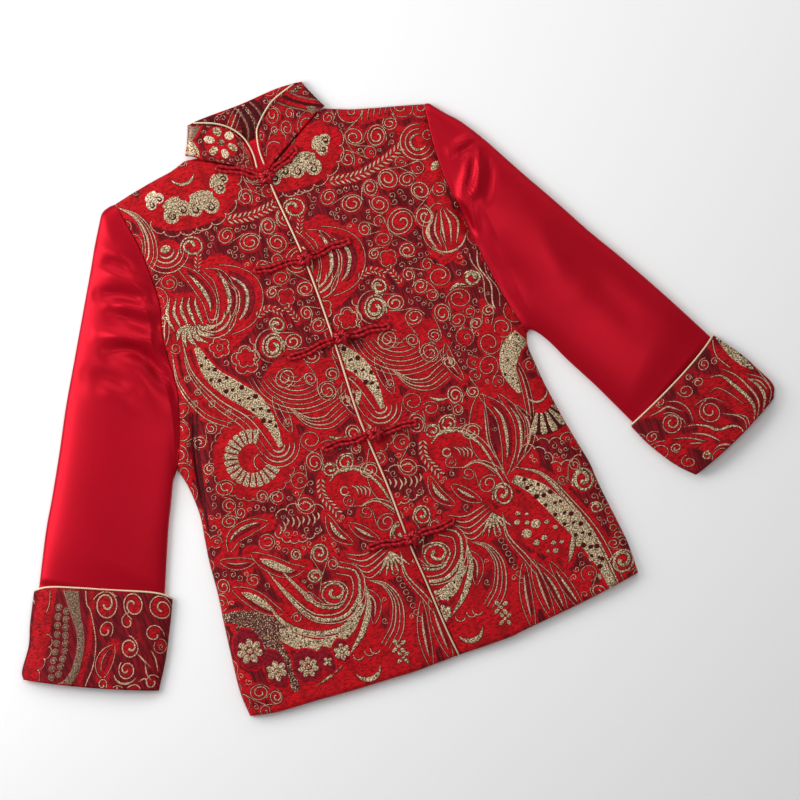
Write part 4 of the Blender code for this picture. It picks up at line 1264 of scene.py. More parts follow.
def buildBack():
    shape = backShape
    uShares, vShares = np.linspace(0, 1, shape["columns"]), np.linspace(0, 1, shape["rows"])
    right = sideSeam("Right", vShares) + (shape["inward"], 0)
    left = sideSeam("Left", vShares) - (shape["inward"], 0)
    top = smoothLine(joined((outline["shoulderRight"], 40), (outline["neckBack"], 60),
                            (outline["shoulderLeft"][::-1], 40)), uShares)
    low = smoothLine(joined((outline["hemRight"], 60), (outline["hemLeft"], 60)), uShares)
    low[0], low[-1], top[0], top[-1] = right[0], left[0], right[-1], left[-1]
    xy = fillGrid(low, top, right, left, uShares, vShares)[:, ::-1]
    points = np.dstack([xy, np.full(xy.shape[:2], shape["low"])])
    piece = addCloth("brocadeBack", points, shape["thick"], brocade)
    beyond = xy[..., :1] > bodyCloth["box"][1]
    setAttribute(piece, "dye", dyeAt(bodyCloth, xy - beyond * np.array([shape["repeat"], 0])))
    patterns = []
    for name, shift in (("lurexBackRight", 0), ("lurexBackLeft", shape["repeat"])):
        patterns.append(layRibbons(name, bodyCloth, lambda uv: uv + (shift, 0),
                                   onHeight(lambda at: np.full(len(at), shape["low"]), -1),
                                   insideOutline(rimOf(xy)[::3]), shadeStrips=False))
        settle(patterns[-1], None)
    settle(piece, "back_panel")


buildBack()
print("back made")

# satin sleeves
sleeveShape = {
    "high": 15.5, "atCuff": 12.2, "lowerOver": 60,          # height of the crown, which falls before the cuff
    "dip": 3.2, "dipOver": 8, "tuck": {"Right": 14, "Left": 9},     # where it goes under the cuff
    "middle": 4.6, "under": 0.25,       # height of its side edges and of its underside
    "crown": 1.8, "underCrown": 14,     # powers of the cross section: 2 makes an ellipse and more is flatter
    "lean": 0.85,          # below 1 the crown leans to the outer edge
    "lowest": 1.8, "least": 0.3,        # of the upper cloth at the seam, and of the gap inside
    "seamFade": {"Right": 26, "Left": 50}, "creaseFade": 9, "underRise": 0.9, "underFade": 20,
    "unevenness": 0.8, "wave": 120,
    "thick": 1.0, "around": 124, "rows": 164,
    "area": {"Right": 0.076, "Left": 0.066},
}
sleeveOutline = {
    "Right": {
        "outer": [(-152, 245), (-160, 244.4), (-168, 241), (-175, 231), (-187, 212), (-198, 193), (-222, 153),
                  (-246, 113), (-270, 73), (-292, 33), (-315, -7), (-333, -37)],
        "inner": [(-188, -25), (-193, -31), (-197, -37), (-207, -57), (-217, -77), (-226, -97)],
        "end": [(-360.8, -90.2), (-248.6, -148.4)],
    },
    "Left": {
        "outer": [(171.5, 229.5), (176.5, 228.4), (181, 223), (189, 213), (198, 203), (205, 193), (217, 173),
                  (238, 133), (260, 93), (281, 53), (304, 13), (331, -37)],
        "inner": [(187, -21), (191, -19), (197, -24), (205, -37), (214, -57), (224, -77), (234, -97)],
        "end": [(359.8, -94.4), (256.6, -146.6)],
    },
}


def ringShares(count):
    # positions across a flattened tube, crowded where its edges turn
    t = np.linspace(0, 1, count)
    return (1 - np.cos(np.pi * t)) / 2 * 0.75 + t * 0.25


def tubePoints(grid, topZ, lowZ):
    # points over the top from the outer edge to the inner one and back underneath, one ring a row
    over = np.dstack([grid, topZ])
    under = np.dstack([grid, np.broadcast_to(lowZ, grid.shape[:2])])[:, ::-1][:, 1:-1]
    return np.concatenate([over, under], axis=1)


def buildSleeve(side):
    shape, edges = sleeveShape, sleeveOutline[side]
    t = ringShares(shape["around"] // 2 + 1)
    s = nearEnds(shape["rows"], 0.25)
    sign = -1 if side == "Right" else 1
    start = smoothLine(outline["armhole" + side], 1 - t) + (sign * 0.4, 0)
    outer = smoothLine(edges["outer"] + edges["end"][:1], s)
    inner = smoothLine(edges["inner"] + edges["end"][1:], s)
    outer[0], inner[0] = start[0], start[-1]
    end = edges["end"][0] + t[:, None] * (np.array(edges["end"][1]) - edges["end"][0])
    grid = fillGrid(start, end, outer, inner, t, s)
    crown = dome(t, shape["crown"], shape["lean"])[None]
    length = np.linalg.norm(outer[-1] - outer[0])
    along = s * length
    left = length - along      # what is left of the sleeve
    high = shape["high"] + (shape["atCuff"] - shape["high"]) * ease(1 - left / shape["lowerOver"])
    high = high - shape["dip"] * ease((shape["tuck"][side] - left) / shape["dipOver"])
    high = high[:, None] + shape["unevenness"] * waves(grid, 11, shape["wave"])
    topZ = shape["middle"] + (high - shape["middle"]) * crown
    seam = frontHeight(grid[:1] - (sign * 0.9, 0), side)
    fade = ease(along / shape["seamFade"][side])[:, None] ** 0.7
    creased = creaseHeight(grid) * crown ** 0.6 * ease(along / shape["creaseFade"])[:, None]
    topZ = np.maximum(seam * (1 - fade) + topZ * fade + creased, shape["lowest"])
    lowZ = shape["under"] + (shape["middle"] - shape["under"]) * (1 - dome(t, shape["underCrown"]))[None]
    lowZ = np.minimum(lowZ, topZ - shape["least"])
    lowZ = lowZ + shape["underRise"] * (1 - ease(along / shape["underFade"]))[:, None]
    points = tubePoints(grid, topZ, lowZ)
    if side == "Right":
        points = points[:, ::-1]
    piece = addCloth("satinSleeve" + side, points, shape["thick"], satin, wrap=True)
    settle(piece, "sleeve_" + side.lower())


for side in ("Right", "Left"):
    buildSleeve(side)
print("sleeves made")

# turned-back cuffs
cuffShape = {
    "outer": {"Right": [(-365, -88.5), (-380, -117), (-389, -137), (-404, -158), (-406, -167)],
              "Left": [(361, -89), (380, -116.5), (390.5, -136.5), (399, -156), (395, -168.5)]},
    "inner": {"Right": [(-238, -145), (-249.5, -168), (-265.5, -198), (-283, -225)],
              "Left": [(251.5, -145), (262, -169), (279, -196), (294.7, -213)]},
    "bow": {"Right": 2.5, "Left": 3.5},     # how far the open end swells
    # the upper edge's curve: its depth, its lean and its flatness
    "lip": {"Right": (-5.5, 1, 8), "Left": (3.6, 0.75, 2)},
    "high": 13.0, "middle": 5.2, "low": 0.8,            # height of its top, its side edges and its underside
    "crown": 3.2, "underCrown": 12,     # powers of the cross section
    "edgeHigh": 0.82, "edgeRoll": 4, "span": 85,        # the upper edge starts lower and rises over edgeRoll mm
    "unevenness": 0.7, "wave": 60,
    "thick": 2.2, "around": 150, "rows": 46, "hem": 0.8,    # no thread lies within hem of its ends
    # how red the ground is, and how red its reddest part
    "bias": {"Right": -0.9, "Left": 0.7}, "fullest": {"Right": 0.54, "Left": 0.56},
    "repeat": 142,         # the pattern comes again this far round the arm
    "area": {"Right": 0.026, "Left": 0.023},
}


def drawRightCuff():
    # plain ribbed red, two columns of ringed dots, a grey gold band, then scrolls on maroon
    lay("clear", [(-54, 42), (-56, 0), (-58, -42)], 12)
    for points in ([(-40, 27), (-39, 5), (-39, -15), (-37, -38)],
                   [(-32, 24), (-31, 8), (-30, -10), (-30, -34)]):
        for x, y in smoothLine(points, 9):
            disc("dull", x, y, 1.9)
            arc("dull", x, y, 2.9, 0, 330, 0.5)
    lay("gold", [(-51, 42), (-50, 30), (-52, 22)], 0.5)
    scallops([(-50, 2), (-47, -12), (-52, -30), (-54, -44)], 11, 0.4)
    goldField([(-32, 48), (-27, 34), (-21, 18), (-16, 5), (-14.5, -16), (-16, -34), (-26, -44), (-46, -46)],
              (8, 6, 4, 3.6, 3.6, 4, 2.5, 1.5), 8, 1.0, seed=3, ground="dull")
    lay("clear", [(-10, 44), (-6, 10), (-8, -42)], 5)
    lay("gold", [(-16, 46), (-13, 32), (-8, 25), (-1.4, 6), (0.6, -8), (1.5, -28), (-4, -48)], 0.8)
    for x, y, radius, turns, start, hand, half in (
            (6.5, 31, 12.5, 1.35, 100, -1, 1.0), (34, 33, 11, 1.1, 200, -1, 0.9), (61, 33, 12, 1.2, 60, 1, 0.9),
            (30, 18, 7, 0.3, 150, 1, 0.8), (9, 10, 7.5, 0.7, 20, 1, 0.8), (57, 9, 9, 0.5, 60, 1, 0.8),
            (34, -5, 9.5, 1.1, 30, -1, 1.0), (36, -26, 8.5, 1.0, 200, 1, 0.9), (14.6, -40, 5, 0.7, 0, 1, 0.75),
            (30, -46, 6, 0.9, 90, -1, 0.7), (47, -46, 8.5, 0.5, 160, -1, 0.8), (63, -36, 7, 0.5, 100, 1, 0.8)):
        spiral(x, y, radius, turns, start, hand, half, red=False)
        patch("red area", x, y, radius - 0.5)
    petal([(14, -34), (12, -18), (18, -4)], 8.5, ((0.3, 0.5),))
    bow(36, -26, 12.5, 200, 330, 1.6)
    for points, half in (([(43, -10), (52, -17), (59, -22)], 1.3), ([(52, -17), (56, -28), (62, -34)], 1.2),
                         ([(56, -6), (62, -14), (67, -26)], 1.1), ([(50, -36), (56, -33), (61, -42)], 1.3)):
        wedge(points, half)


def drawLeftCuff():
    # a lens with long plumes beside it, a wave with bows under it, small scrolls towards the piping
    goldField([(62, 40), (60, 28), (57, 16), (56, 4), (57, -6)], (3, 5.5, 6, 4.5, 1), 4, 1.3, seed=2)
    lay("gold", [(57, 43), (50.5, 38), (44, 28), (43, 12)], 0.7)
    lay("gold", [(66, 30), (63, 10), (59, -14), (53, -39), (44, -48)], 1.0)
    for points, half in (([(23, 21), (31.5, 13.5), (32.5, 0), (33, -17), (30.5, -30), (26, -41), (21, -50)],
                          2.3),
                         ([(37, 18), (41, 2), (40.5, -17), (37, -31), (28, -48)], 1.5),
                         ([(46, -7), (48, -19), (46, -30), (41, -42), (35, -52)], 2.3),
                         ([(46, -8), (52, -18), (51.5, -30)], 1.3), ([(49, -4), (56, -18), (55, -32)], 0.9),
                         ([(4, -13), (12, -25), (14.5, -37), (10, -48)], 1.0)):
        wedge(points, half)
    lay("clear", [(16, 16), (21, -6), (22, -28)], 12)
    for x, y, radius, turns, start, hand, half in (
            (30, 34, 6, 1.1, 90, 1, 0.6), (11, 37, 3.2, 0.8, 0, 1, 0.6), (13, 26, 5, 0.9, 60, -1, 0.7),
            (-1, 29, 7, 0.9, 200, 1, 0.6), (-34, 16, 11, 1.5, 20, -1, 0.8), (-2, -4, 11, 1.2, 120, 1, 0.7),
            (-56, 20, 6, 0.9, 60, 1, 0.6), (-49, -6, 5, 0.9, 180, -1, 0.8), (39, 28, 3.6, 0.7, 40, 1, 0.6),
            (-38, -34, 4.5, 0.7, 90, 1, 1.2), (-54, -26, 7, 0.7, 120, 1, 0.6)):
        spiral(x, y, radius, turns, start, hand, half, red=False)
        patch("red area", x, y, radius + 0.5)
    for points, half in (([(-44, 38), (-33, 34), (-24, 31), (-18, 17)], 1.5),
                         ([(-22, 37), (-14, 27), (-13, 14), (-19, 1)], 0.9),
                         ([(-29, 4), (-21, -2), (-14, -12), (-10.5, -22), (0, -28), (7, -37), (8, -50)], 1.8),
                         ([(-44, 3), (-34, -8), (-26, -23)], 0.9), ([(-29, -6), (-21, -18), (-18, -32)], 1.5),
                         ([(-38, -12), (-30, -21)], 1.4), ([(12, 10), (20, 8), (24, -6), (25, -24)], 0.7),
                         ([(-8, 12), (2, 10), (10, 4), (14, -8)], 0.7),
                         ([(-30, 24), (-24, 12), (-26, 4)], 0.7), ([(12, -22), (18, -34), (17, -48)], 0.9),
                         ([(-8, -40), (-2, -46), (0, -52)], 1.2),
                         ([(-28, -34), (-21, -35), (-13, -42), (-10, -50)], 1.6)):
        wedge(points, half)
    lay("clear", [(-22, -18), (-10, -30), (0, -40)], 9)


cuffCloths = {}
for side, drawPattern in (("Right", drawRightCuff), ("Left", drawLeftCuff)):
    cloth = newCloth(-215, 215, -52, 52)
    for repeat in (-1, 0, 1):
        cloth["shift"] = repeat * cuffShape["repeat"]
        drawPattern()
    cloth["shift"] = 0
    fillCurls(12, 0)
    dyeField([0], [cuffShape["bias"][side]], cuffShape["fullest"][side])
    cuffCloths[side] = cloth


def lipAt(side, t):
    # how far the upper edge stands towards the hand: depth times 1 - |2 t^lean - 1|^flatness
    depth, lean, flatness = cuffShape["lip"][side]
    return depth * (1 - np.abs(2 * t ** lean - 1) ** flatness)


def buildCuff(side):
    shape, source = cuffShape, cuffCloths[side]
    hand = 1 if side == "Right" else -1     # which way round the arm the grid runs
    t, s = ringShares(shape["around"] // 2 + 1), np.linspace(0, 1, shape["rows"])
    outer, inner = smoothLine(shape["outer"][side], s), smoothLine(shape["inner"][side], s)
    width, length = np.linalg.norm(inner[0] - outer[0]), np.linalg.norm(outer[-1] - outer[0])
    start = outer[0] + t[:, None] * (inner[0] - outer[0])
    end = outer[-1] + t[:, None] * (inner[-1] - outer[-1])
    along = end[len(t) // 2] - start[len(t) // 2]
    along = along / np.linalg.norm(along)
    bowed = shape["bow"][side] * np.sin(np.pi * t) ** 0.8 * s[:, None] ** 2
    lipped = lipAt(side, t) * (1 - s[:, None]) ** 2
    grid = fillGrid(start, end, outer, inner, t, s) + along * (bowed + lipped)[..., None]
    roll = shape["edgeHigh"] + (1 - shape["edgeHigh"]) * roundUp(s * shape["span"], shape["edgeRoll"])[:, None]
    high = shape["high"] + shape["unevenness"] * waves(grid, 21, shape["wave"])
    topZ = shape["middle"] + (high - shape["middle"]) * dome(t, shape["crown"])[None] * roll
    lowZ = shape["low"] + (shape["middle"] - shape["low"]) * (1 - dome(t, shape["underCrown"]))
    points = tubePoints(grid, topZ, lowZ)
    points = np.concatenate([points, points[:, :1]], axis=1)
    around = travelled(points[0])
    regular, up = np.linspace(0, around[-1], shape["around"] + 1), np.linspace(0, length, shape["rows"])
    points = respaced(points, around, regular)
    place = onGrid(points, regular, up)

    def toCloth(uv):
        # the cuff runs once round the arm, and the middle of its top is the middle of the cloth
        return np.column_stack([width / 2 + hand * uv[:, 0], length / 2 - uv[:, 1]])

    def inside(ab):
        a, b = ab.T
        return (a > 0) & (a < regular[-1]) & (b > shape["hem"]) & (b < length - shape["hem"])

    def onCuff(ab):
        spot, normal = place(ab)
        return spot, -hand * normal

    piece = addCloth("brocadeCuff" + side, points, shape["thick"], brocade, hand=-hand)
    a, b = np.meshgrid(regular, up)
    setAttribute(piece, "dye", dyeAt(source, np.dstack([hand * (a - width / 2), length / 2 - b])))
    pattern = layRibbons("lurexCuff" + side, source, toCloth, onCuff, inside)
    settle(piece, "cuff_" + side.lower())
    settle(pattern, None)


for side in ("Right", "Left"):
    buildCuff(side)
print("cuffs made")

# stand collar, pressed flat: rows from the right front end round the back to the left front end
collarShape = {
    # x, y and height of the lower edge, then of the upper edge
    "sections": [
        (-10.5, 226.5, 9.4, -8.6, 233, 9.4), (-16, 230, 9.6, -7.6, 245, 9.4), (-24, 236, 9.8, -10, 258, 9.2),
        (-33, 242, 9.8, -16, 270, 9.0), (-43, 248, 9.6, -26, 279.5, 8.8), (-54, 254.4, 9.0, -39, 286.8, 8.6),
        (-62.6, 261.6, 7.8, -49.4, 290, 7.8), (-67.2, 264.0, 6.2, -54, 292, 6.2),
        (-68.4, 264.4, 4.2, -55.2, 292.8, 4.2), (-66.8, 264.0, 3.1, -53.4, 293.4, 3.1),
        (-60, 261.6, 2.7, -47, 294.2, 2.7), (-38, 257.6, 2.7, -28, 294.4, 2.7), (0, 255.6, 2.7, 0, 294.2, 2.7),
        (42, 257.6, 2.7, 36, 296.2, 2.7), (68, 260.4, 2.7, 56, 295.2, 2.7),
        (75.4, 262.0, 3.1, 61.6, 294.4, 3.1), (76.8, 262.3, 4.2, 63.4, 293.6, 4.2),
        (75.4, 262.0, 6.2, 62.0, 292.8, 6.2),
        (69, 259.8, 7.8, 57, 291.8, 7.8), (56, 252.8, 9.0, 44, 288.4, 8.6), (44, 246.2, 9.6, 29, 281, 8.8),
        (33, 240, 9.8, 16, 271, 9.0), (23, 234.4, 9.8, 7.5, 261, 9.2), (14, 229.4, 9.6, 4.0, 249, 9.4),
        (6, 225, 9.4, 3.0, 236, 9.4)],
    "steps": 8, "columns": 18, "bulge": 0.9, "thick": 2.0, "height": 38,
    "front": 1, "hem": 0.5,             # no thread lies this near to its front ends and its long edges
}


cloth = newCloth(-4, 303, -4, 44)       # u from the right front end, v from the seam
lay("clear", [(40.7, 22), (41.3, 22)], 17)
for petals, turn, tone in ((3, 0.05, "bright"), (3, 1.1, "ground")):
    petalFlower(41, 22, 19, petals, turn, tone, centre=0.19, plump=0.29, flat=0.72)
goldField([(70, 44), (71, 31), (74, 19)], (9, 6, 3.5), 0, ground="dull")
goldField([(74, 19), (70, 8), (68, -4)], (3.5, 7, 8), 5, 1.3, "red")
scallops([(26, 0), (19, 10), (18, 22), (24, 34)], 7, 0.5)
lay("gold", [(8, 20), (12, 12), (10, 2)], 0.5)
for x, tone, half in ((84, "dull", 0.7), (89, "maroon", 1.6), (94, "dull", 1.2), (100, "maroon", 1.8),
                      (128, "maroon", 1.6), (132, "dull", 0.9), (136, "maroon", 2.2), (140, "sparse", 1.4),
                      (145, "maroon", 2.2), (149, "dull", 0.8), (153, "maroon", 1.4),
                      (199, "dull", 1.0), (205, "maroon", 1.6)):
    lay(tone, [(x, -2), (x + 5, 14), (x + 3, 30), (x - 4, 42)], half * np.array([0.6, 1, 1.2, 0.5]))
for x, half in ((112, 1.3), (164, 1.1)):
    petal([(x, 0), (x + 6, 14), (x + 18, 30), (x + 32, 40)], 5, ((0, half),))
for row in ((253, 32, 8, 1.5, 150, -1, 0.5), (252, 13, 7, 1.0, 30, 1, 0.5), (275, 34, 4.5, 1.0, 90, 1, 0.5),
            (240, 20, 5, 0.8, 200, -1, 0.5), (262, 22, 4, 0.8, 0, 1, 0.5)):
    spiral(*row)
arc("gold", 268, 14, 10, 60, 230, 0.5)
arc("gold", 284, 8, 15, 70, 175, 0.7)
lay("clear", [(268, 12), (284, 14), (296, 12)], 11)
for x, tone, half in ((224, "dull", 0.7), (227, "red", 1.8), (231, "maroon", 1.5), (235, "red", 1.6),
                      (239, "dull", 0.6)):
    lay(tone, [(x - 22, -3), (x - 12, 12), (x - 2, 27), (x + 5, 42)], half * np.array([0.6, 1, 1.1, 0.6]))
goldField([(212, 38), (219, 37), (227, 40)], (4, 6.5, 4), 0, ground="sparse")
goldField([(219, -3), (220, 6), (223, 12)], (5, 3.5, 1), 0, ground="dull")
fillCurls(12, 70)
dyeField([0], [-1.8])
collarCloth = cloth


def buildCollar():
    shape = collarShape
    table = throughPoints(shape["sections"], shape["steps"])
    v = np.linspace(0, 1, shape["columns"])
    up = v * shape["height"]
    points = table[None, :, :3] * (1 - v[:, None, None]) + table[None, :, 3:] * v[:, None, None]
    run = travelled(points.mean(axis=0))
    count = np.arange(len(run))
    normal = onGrid(points, count, up)(np.dstack(np.meshgrid(count, up)))[1]
    points = points + shape["bulge"] * (np.sin(np.pi * v) ** 0.7)[:, None, None] * normal
    regular = np.linspace(0, run[-1], len(run))
    points = respaced(points, run, regular)
    outer = onGrid(points, regular, up)
    piece = addCloth("brocadeCollar", points, shape["thick"], brocade)
    setAttribute(piece, "dye", dyeAt(collarCloth, np.dstack(np.meshgrid(regular, up))))

    def inside(ab):
        a, b = ab.T
        return ((a > shape["front"]) & (a < run[-1] - shape["front"])
                & (b > shape["hem"]) & (b < shape["height"] - shape["hem"]))

    def lined(ab):
        # the other side of the cloth
        spot, out = outer(ab)
        return spot - out * shape["thick"], -out

    patterns = [layRibbons("lurexCollarOutside", collarCloth, lambda uv: uv, outer, inside),
                layRibbons("lurexCollarInside", collarCloth, lambda uv: uv, lined, inside)]
    patterns[1].data.flip_normals()
    settle(piece, "collar")
    for pattern in patterns:
        settle(pattern, None)


buildCollar()
print("collar made")

# satin underlap that shows in the neck opening
underlapShape = {
    "reach": (-24, 8), "ends": (-291, 257), "high": 5.0,    # beside the front edge, along it, above the floor
    "neckRise": 3.0, "neckFrom": 190, "neckOver": 40,
    "ripple": 0.25, "rippleTurn": 0.23, "thick": 1.2, "rows": 120, "columns": 14,
}


def buildUnderlap():
    shape = underlapShape
    y = np.linspace(*shape["ends"], shape["rows"])[:, None]
    x = frontEdgeX(y) + np.linspace(*shape["reach"], shape["columns"])
    z = (shape["high"] + shape["neckRise"] * ease((y - shape["neckFrom"]) / shape["neckOver"])
         + shape["ripple"] * np.sin(shape["rippleTurn"] * y))
    points = np.dstack(np.broadcast_arrays(x, y, z))
    piece = addCloth("satinUnderlap", points, shape["thick"], liningSatin)
    settle(piece, "underlap")


buildUnderlap()
print("underlap made")


# cords: piping and frogs
def sweepCord(line, radius, sides=10, ups=None, closed=False, flat=1.0):
    # rings of points round a path; the radius may change along it, and flat presses the ring's height
    run = unit(np.roll(line, -1, axis=0) - np.roll(line, 1, axis=0) if closed else np.gradient(line, axis=0))
    ups = np.tile([0.0, 0.0, 1.0], (len(line), 1)) if ups is None else ups
    side = unit(np.cross(run, ups))
    lift = np.cross(side, run)
    a = np.linspace(0, 2 * np.pi, sides, endpoint=False)
    radius = np.broadcast_to(radius, len(line))[:, None, None]
    return line[:, None] + radius * (np.cos(a)[None, :, None] * side[:, None]
                                     + flat * np.sin(a)[None, :, None] * lift[:, None])


def roundEnds(count, length, radius, full):
    # radius that closes in a half circle at both ends of a cord, but for a tiny share
    s, tiny = np.linspace(0, length, count), 0.02
    return full * np.maximum(roundUp(s + tiny, radius) * roundUp(length - s + tiny, radius), tiny)


def addCords(name, cords, finish):
    # joined cords: each is a grid of rings and whether it is closed; it carries along and turn for its material
    points, quads, along, turn, start = [], [], [], [], 0
    for rings, closed in cords:
        rows, columns = rings.shape[:2]
        block = gridQuads(rows, columns, wrap=True)
        if closed:
            first = np.arange(columns)
            last = first + (rows - 1) * columns
            block = np.vstack([block, np.stack([last, np.roll(last, -1), np.roll(first, -1), first], 1)])
        quads.append(block[:, ::-1] + start)
        points.append(rings.reshape(-1, 3))
        along.append(np.repeat(travelled(rings.mean(axis=1)), columns))
        turn.append(np.tile(np.arange(columns) / columns * 2 * np.pi, rows))
        start += rows * columns
    piece = addPiece(name, np.vstack(points), np.vstack(quads), [finish])
    setAttribute(piece, "along", np.concatenate(along))
    setAttribute(piece, "turn", np.concatenate(turn))
    return piece


pipingShape = {
    "radius": 1.0, "wing": 0.85, "sides": 12, "cuffSides": 10, "tip": 1.6,
    "sunk": 0.3,           # its middle lies below the fronts beside it
    "beside": 2.4,         # where the fronts' height is read
    "smoothing": 9, "frontLength": 520, "wingLength": 90,
    "edge": 1.0,           # from the cuff's upper edge, and how much shorter and lower than it
    "inset": 1.2, "below": 1.2,
    "wings": {
        "right": [(-7, 228, 9.8), (-5.6, 242, 9.8), (-7.2, 256, 9.8), (-11.6, 267, 9.6), (-20, 277.4, 9.4),
                  (-32, 285.6, 9.2), (-51, 293.4, 8.0)],
        "left": [(1, 229, 9.8), (1.5, 245, 9.8), (4.6, 259.4, 9.8), (8.4, 267, 9.6), (20.5, 278.6, 9.4),
                 (33.4, 287, 9.2), (57, 294.4, 8.0)]},
}


def fronts(xy):
    # the higher of the two fronts, whose edges meet at the piping
    away = (pipingShape["beside"], 0)
    return np.maximum(frontHeight(xy - away, "Right"), frontHeight(xy + away, "Left"))


def addPiping(name, node, rings, closed=False):
    # cord of gold satin that stands for the node
    settle(addCords(name, [(rings, closed)], pipingSatin), node)


def buildPiping():
    shape, cuff = pipingShape, cuffShape
    edge = smoothLine(outline["frontEdge"], 300)
    window = shape["smoothing"]
    z = np.pad(fronts(edge) - shape["sunk"], window // 2, "edge")
    z = np.convolve(z, np.ones(window) / window, "valid")
    radius = roundEnds(len(edge), shape["frontLength"], shape["tip"], shape["radius"])
    addPiping("goldFrontPiping", "front_piping", sweepCord(np.column_stack([edge, z]), radius, shape["sides"]))
    for name, points in shape["wings"].items():
        path = smoothLine(points, 90)
        radius = roundEnds(len(path), shape["wingLength"], shape["tip"], shape["wing"])
        addPiping("goldCollarPiping" + name.capitalize(), "collar_piping_" + name,
                  sweepCord(path, radius, shape["sides"]))
    for side in ("Right", "Left"):
        outer, inner = np.array([cuff["outer"][side][0], cuff["inner"][side][0]], float)
        across = (inner - outer) / np.linalg.norm(inner - outer)
        up = np.array([-across[1], across[0]])
        up = up * np.sign(up[1])
        t = ringShares(60)[:, None]
        top = (outer + across * shape["inset"] + t * (inner - outer - across * 2 * shape["inset"])
               + up * (shape["edge"] - lipAt(side, t)))
        bulge = dome(t[:, 0], cuff["crown"])
        high = cuff["middle"] + (cuff["high"] - shape["below"] - cuff["middle"]) * bulge
        low = cuff["middle"] - (cuff["middle"] - shape["radius"]) * bulge ** 0.5
        ring = np.vstack([np.column_stack([top, high]), np.column_stack([top, low])[::-1][1:-1]])
        rings = sweepCord(ring, shape["radius"], shape["cuffSides"], np.tile([*up, 0.0], (len(ring), 1)), True)
        addPiping("goldCuffPiping" + side, "cuff_piping_" + side.lower(), rings, closed=True)


buildPiping()
print("piping made")

frogShape = {
    # outer end of the loop half, knot, outer end of the tail half
    "places": [((-44.5, 243.5), (-1, 217), (37, 232)), ((-45.5, 132.6), (5.6, 127), (54, 129)),
               ((-44, 39), (12.5, 41), (61, 35)), ((-44, -56.5), (9.6, -61), (52, -65)),
               ((-37, -165), (7, -171.6), (53, -170.4))],
    "cord": 2.15, "apart": 2.2,         # radius of the cord, and half the distance between its two runs
    "wander": 0.9, "pinch": 0.25, "fromKnot": 3.5,
    "seat": 2.277, "ripple": 0.27,      # the cord's middle above the cloth
    "climb": 0.8, "climbFrom": 9,       # how much higher it lies over the piping
    "pressed": 0.85, "count": 110,
    "knot": (8.4, 7.8, 5.2),            # half its sizes
    "knotCord": 2.5, "knotSeat": 4.9, "weave": 0.13, "core": (4.8, 3.4),
}


def clothTop(xy):
    # height of the front that lies at each point
    return np.where(xy[:, 0] < frontEdgeX(xy[:, 1]), frontHeight(xy, "Right"), frontHeight(xy, "Left"))


def frogStrip(end, knot, seed):
    # one cord that runs out from the knot, turns round at the end and runs back beside itself
    shape = frogShape
    end, knot = np.array(end, float), np.array(knot, float)
    length = np.linalg.norm(end - knot)
    run = (end - knot) / length
    side = np.array([-run[1], run[0]])
    apart, count = shape["apart"], shape["count"]
    draw = np.random.default_rng(seed)
    s = np.linspace(shape["fromKnot"], length - apart, 26)
    sway = shape["wander"] * np.sin(s * draw.uniform(0.16, 0.22) + draw.uniform(0, 6))
    gap = apart * (1 - shape["pinch"] * bell(s, 8, 4) + 0.12 * np.sin(s * 0.45 + draw.uniform(0, 6)))
    out, back = (knot + s[:, None] * run + (sway + hand * gap)[:, None] * side for hand in (1, -1))
    a = np.linspace(np.pi / 2, -np.pi / 2, 9)[1:-1, None]
    tip = knot + (length - apart + apart * np.cos(a)) * run + (sway[-1] + apart * np.sin(a)) * side
    path = smoothLine(np.vstack([out, tip, back[::-1]]), count)
    ripple = shape["ripple"] * np.sin(np.linalg.norm(path - knot, axis=1) * 0.3 + seed)
    fromPiping = np.abs(path[:, 0] - frontEdgeX(path[:, 1]))
    z = clothTop(path) + shape["seat"] + ripple + shape["climb"] * ease(1.4 - fromPiping / shape["climbFrom"])
    width = shape["cord"] * (1 + 0.06 * np.sin(np.linspace(0, 34, count) + seed))
    return sweepCord(np.column_stack([path, z]), width * roundEnds(count, 100, 2.0, 1.0), flat=shape["pressed"])


def ballKnot(knot):
    # one cord wound twice round a pressed ball, rising and falling five times and passing over and under
    # itself, and a small core inside
    shape = frogShape
    a = np.linspace(0, 4 * np.pi, 120, endpoint=False)
    tilt = 1.15 * np.sin(a * 2.5)
    out = np.column_stack([np.cos(a) * np.cos(tilt), np.sin(a) * np.cos(tilt), np.sin(tilt)])
    weave = 1 + shape["weave"] * np.cos(a * 5)
    centre = np.array([*knot, fronts(np.array([knot], float))[0] + shape["knotSeat"]])
    path = centre + out * (np.array(shape["knot"]) - 1.7) * weave[:, None]
    wide, tall = shape["core"]
    t = np.linspace(0, np.pi, 12)
    core = centre - np.outer(np.cos(t) * tall, (0, 0, 1))
    ball = sweepCord(core, np.maximum(np.sin(t), 0.01) * wide, 14, np.tile([0.0, 1, 0], (12, 1)))
    return [(sweepCord(path, shape["knotCord"], 10, out, True), True), (ball, False)]


def buildFrogs():
    for number, (loop, knot, tail) in enumerate(frogShape["places"], 1):
        parts = {"loop": [(frogStrip(loop, knot, number), False)],
                 "tail": [(frogStrip(tail, knot, number + 7), False)], "knot": ballKnot(knot)}
        for part, cords in parts.items():
            settle(addCords(f"crimsonFrog{number}{part.capitalize()}", cords, frogSatin),
                   f"frog_{number}_{part}")


buildFrogs()
print("frogs made")

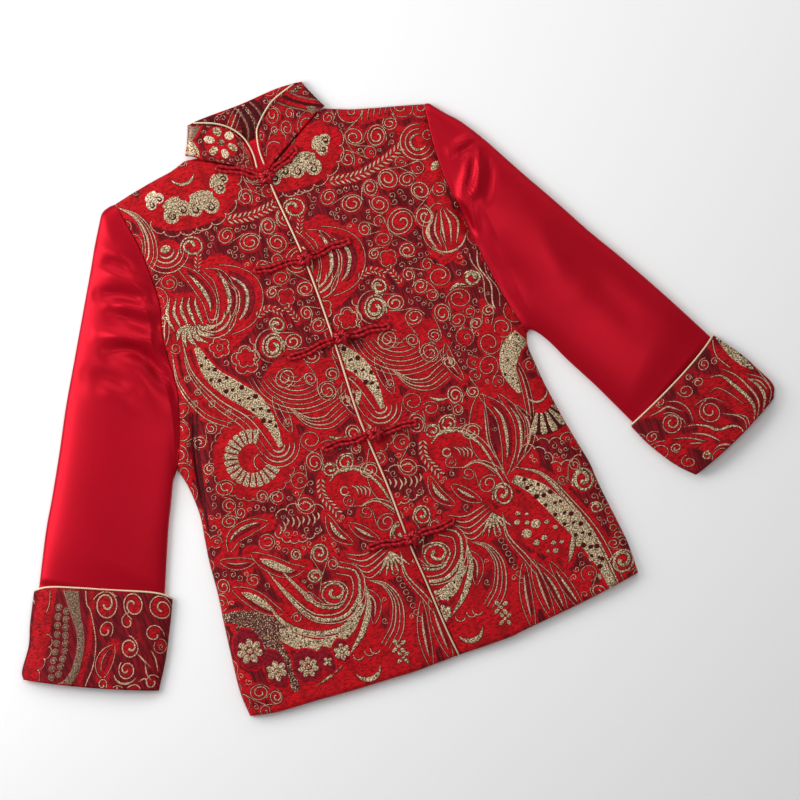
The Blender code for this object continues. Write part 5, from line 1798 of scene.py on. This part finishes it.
# camera, floor and light
cameraSet = {"target": (44.8, -38.6), "across": 800, "distance": 6000, "turn": -20.7, "sensor": 36}
camera = bpy.data.objects.new("camera", bpy.data.cameras.new("camera"))
bpy.context.scene.collection.objects.link(camera)
camera.data.sensor_width = cameraSet["sensor"]
camera.data.lens = cameraSet["sensor"] * cameraSet["distance"] / cameraSet["across"]
camera.data.clip_end = 20
camera.location = np.array([*cameraSet["target"], cameraSet["distance"]]) * mm
camera.rotation_euler = (0, 0, np.radians(cameraSet["turn"]))
bpy.context.scene.camera = camera

floorSet = {"half": 4, "colour": "#FAFAFA"}      # half its side in metres
floorMesh = bpy.data.meshes.new("floor")
corners = [(-1, -1), (1, -1), (1, 1), (-1, 1)]
floorMesh.from_pydata([(x * floorSet["half"], y * floorSet["half"], 0) for x, y in corners], [], [(0, 1, 2, 3)])
floor = bpy.data.objects.new("floor", floorMesh)
bpy.context.scene.collection.objects.link(floor)
paper = newMaterial("palePaper", Roughness=0.9, Base_Color=linearColour(floorSet["colour"]))[0]
floorMesh.materials.append(paper)

# soft panels that face the jacket's middle, places and sizes in metres
lights = [
    dict(name="leftPanel", at=(-0.9, 0.52, 0.74), size=0.84, watts=12.0),
    dict(name="rightPanel", at=(0.85, 0.7, 0.7), size=0.7, watts=1.5),
    dict(name="topPanel", at=(0.2, 1.3, 1.2), size=0.9, watts=6),
    dict(name="overheadPanel", at=(0.14, 0.02, 1.25), size=0.4, watts=1.6),
]
studioGlow = 0.36
for light in lights:
    data = bpy.data.lights.new(light["name"], "AREA")
    data.energy, data.size = light["watts"], light["size"]
    lamp = bpy.data.objects.new(light["name"], data)
    lamp.location = light["at"]
    x, y, z = light["at"]
    lamp.rotation_euler = (0, np.arctan2(np.hypot(x, y), z), np.arctan2(y, x))
    lamp.visible_camera = False
    bpy.context.scene.collection.objects.link(lamp)
world = bpy.data.worlds.new("studio")
world.use_nodes = True
glow = world.node_tree.nodes["Background"].inputs
glow["Color"].default_value = (1, 1, 1, 1)
glow["Strength"].default_value = studioGlow
bpy.context.scene.world = world
bpy.context.scene.view_settings.view_transform = "Standard"
print("camera and lights set")
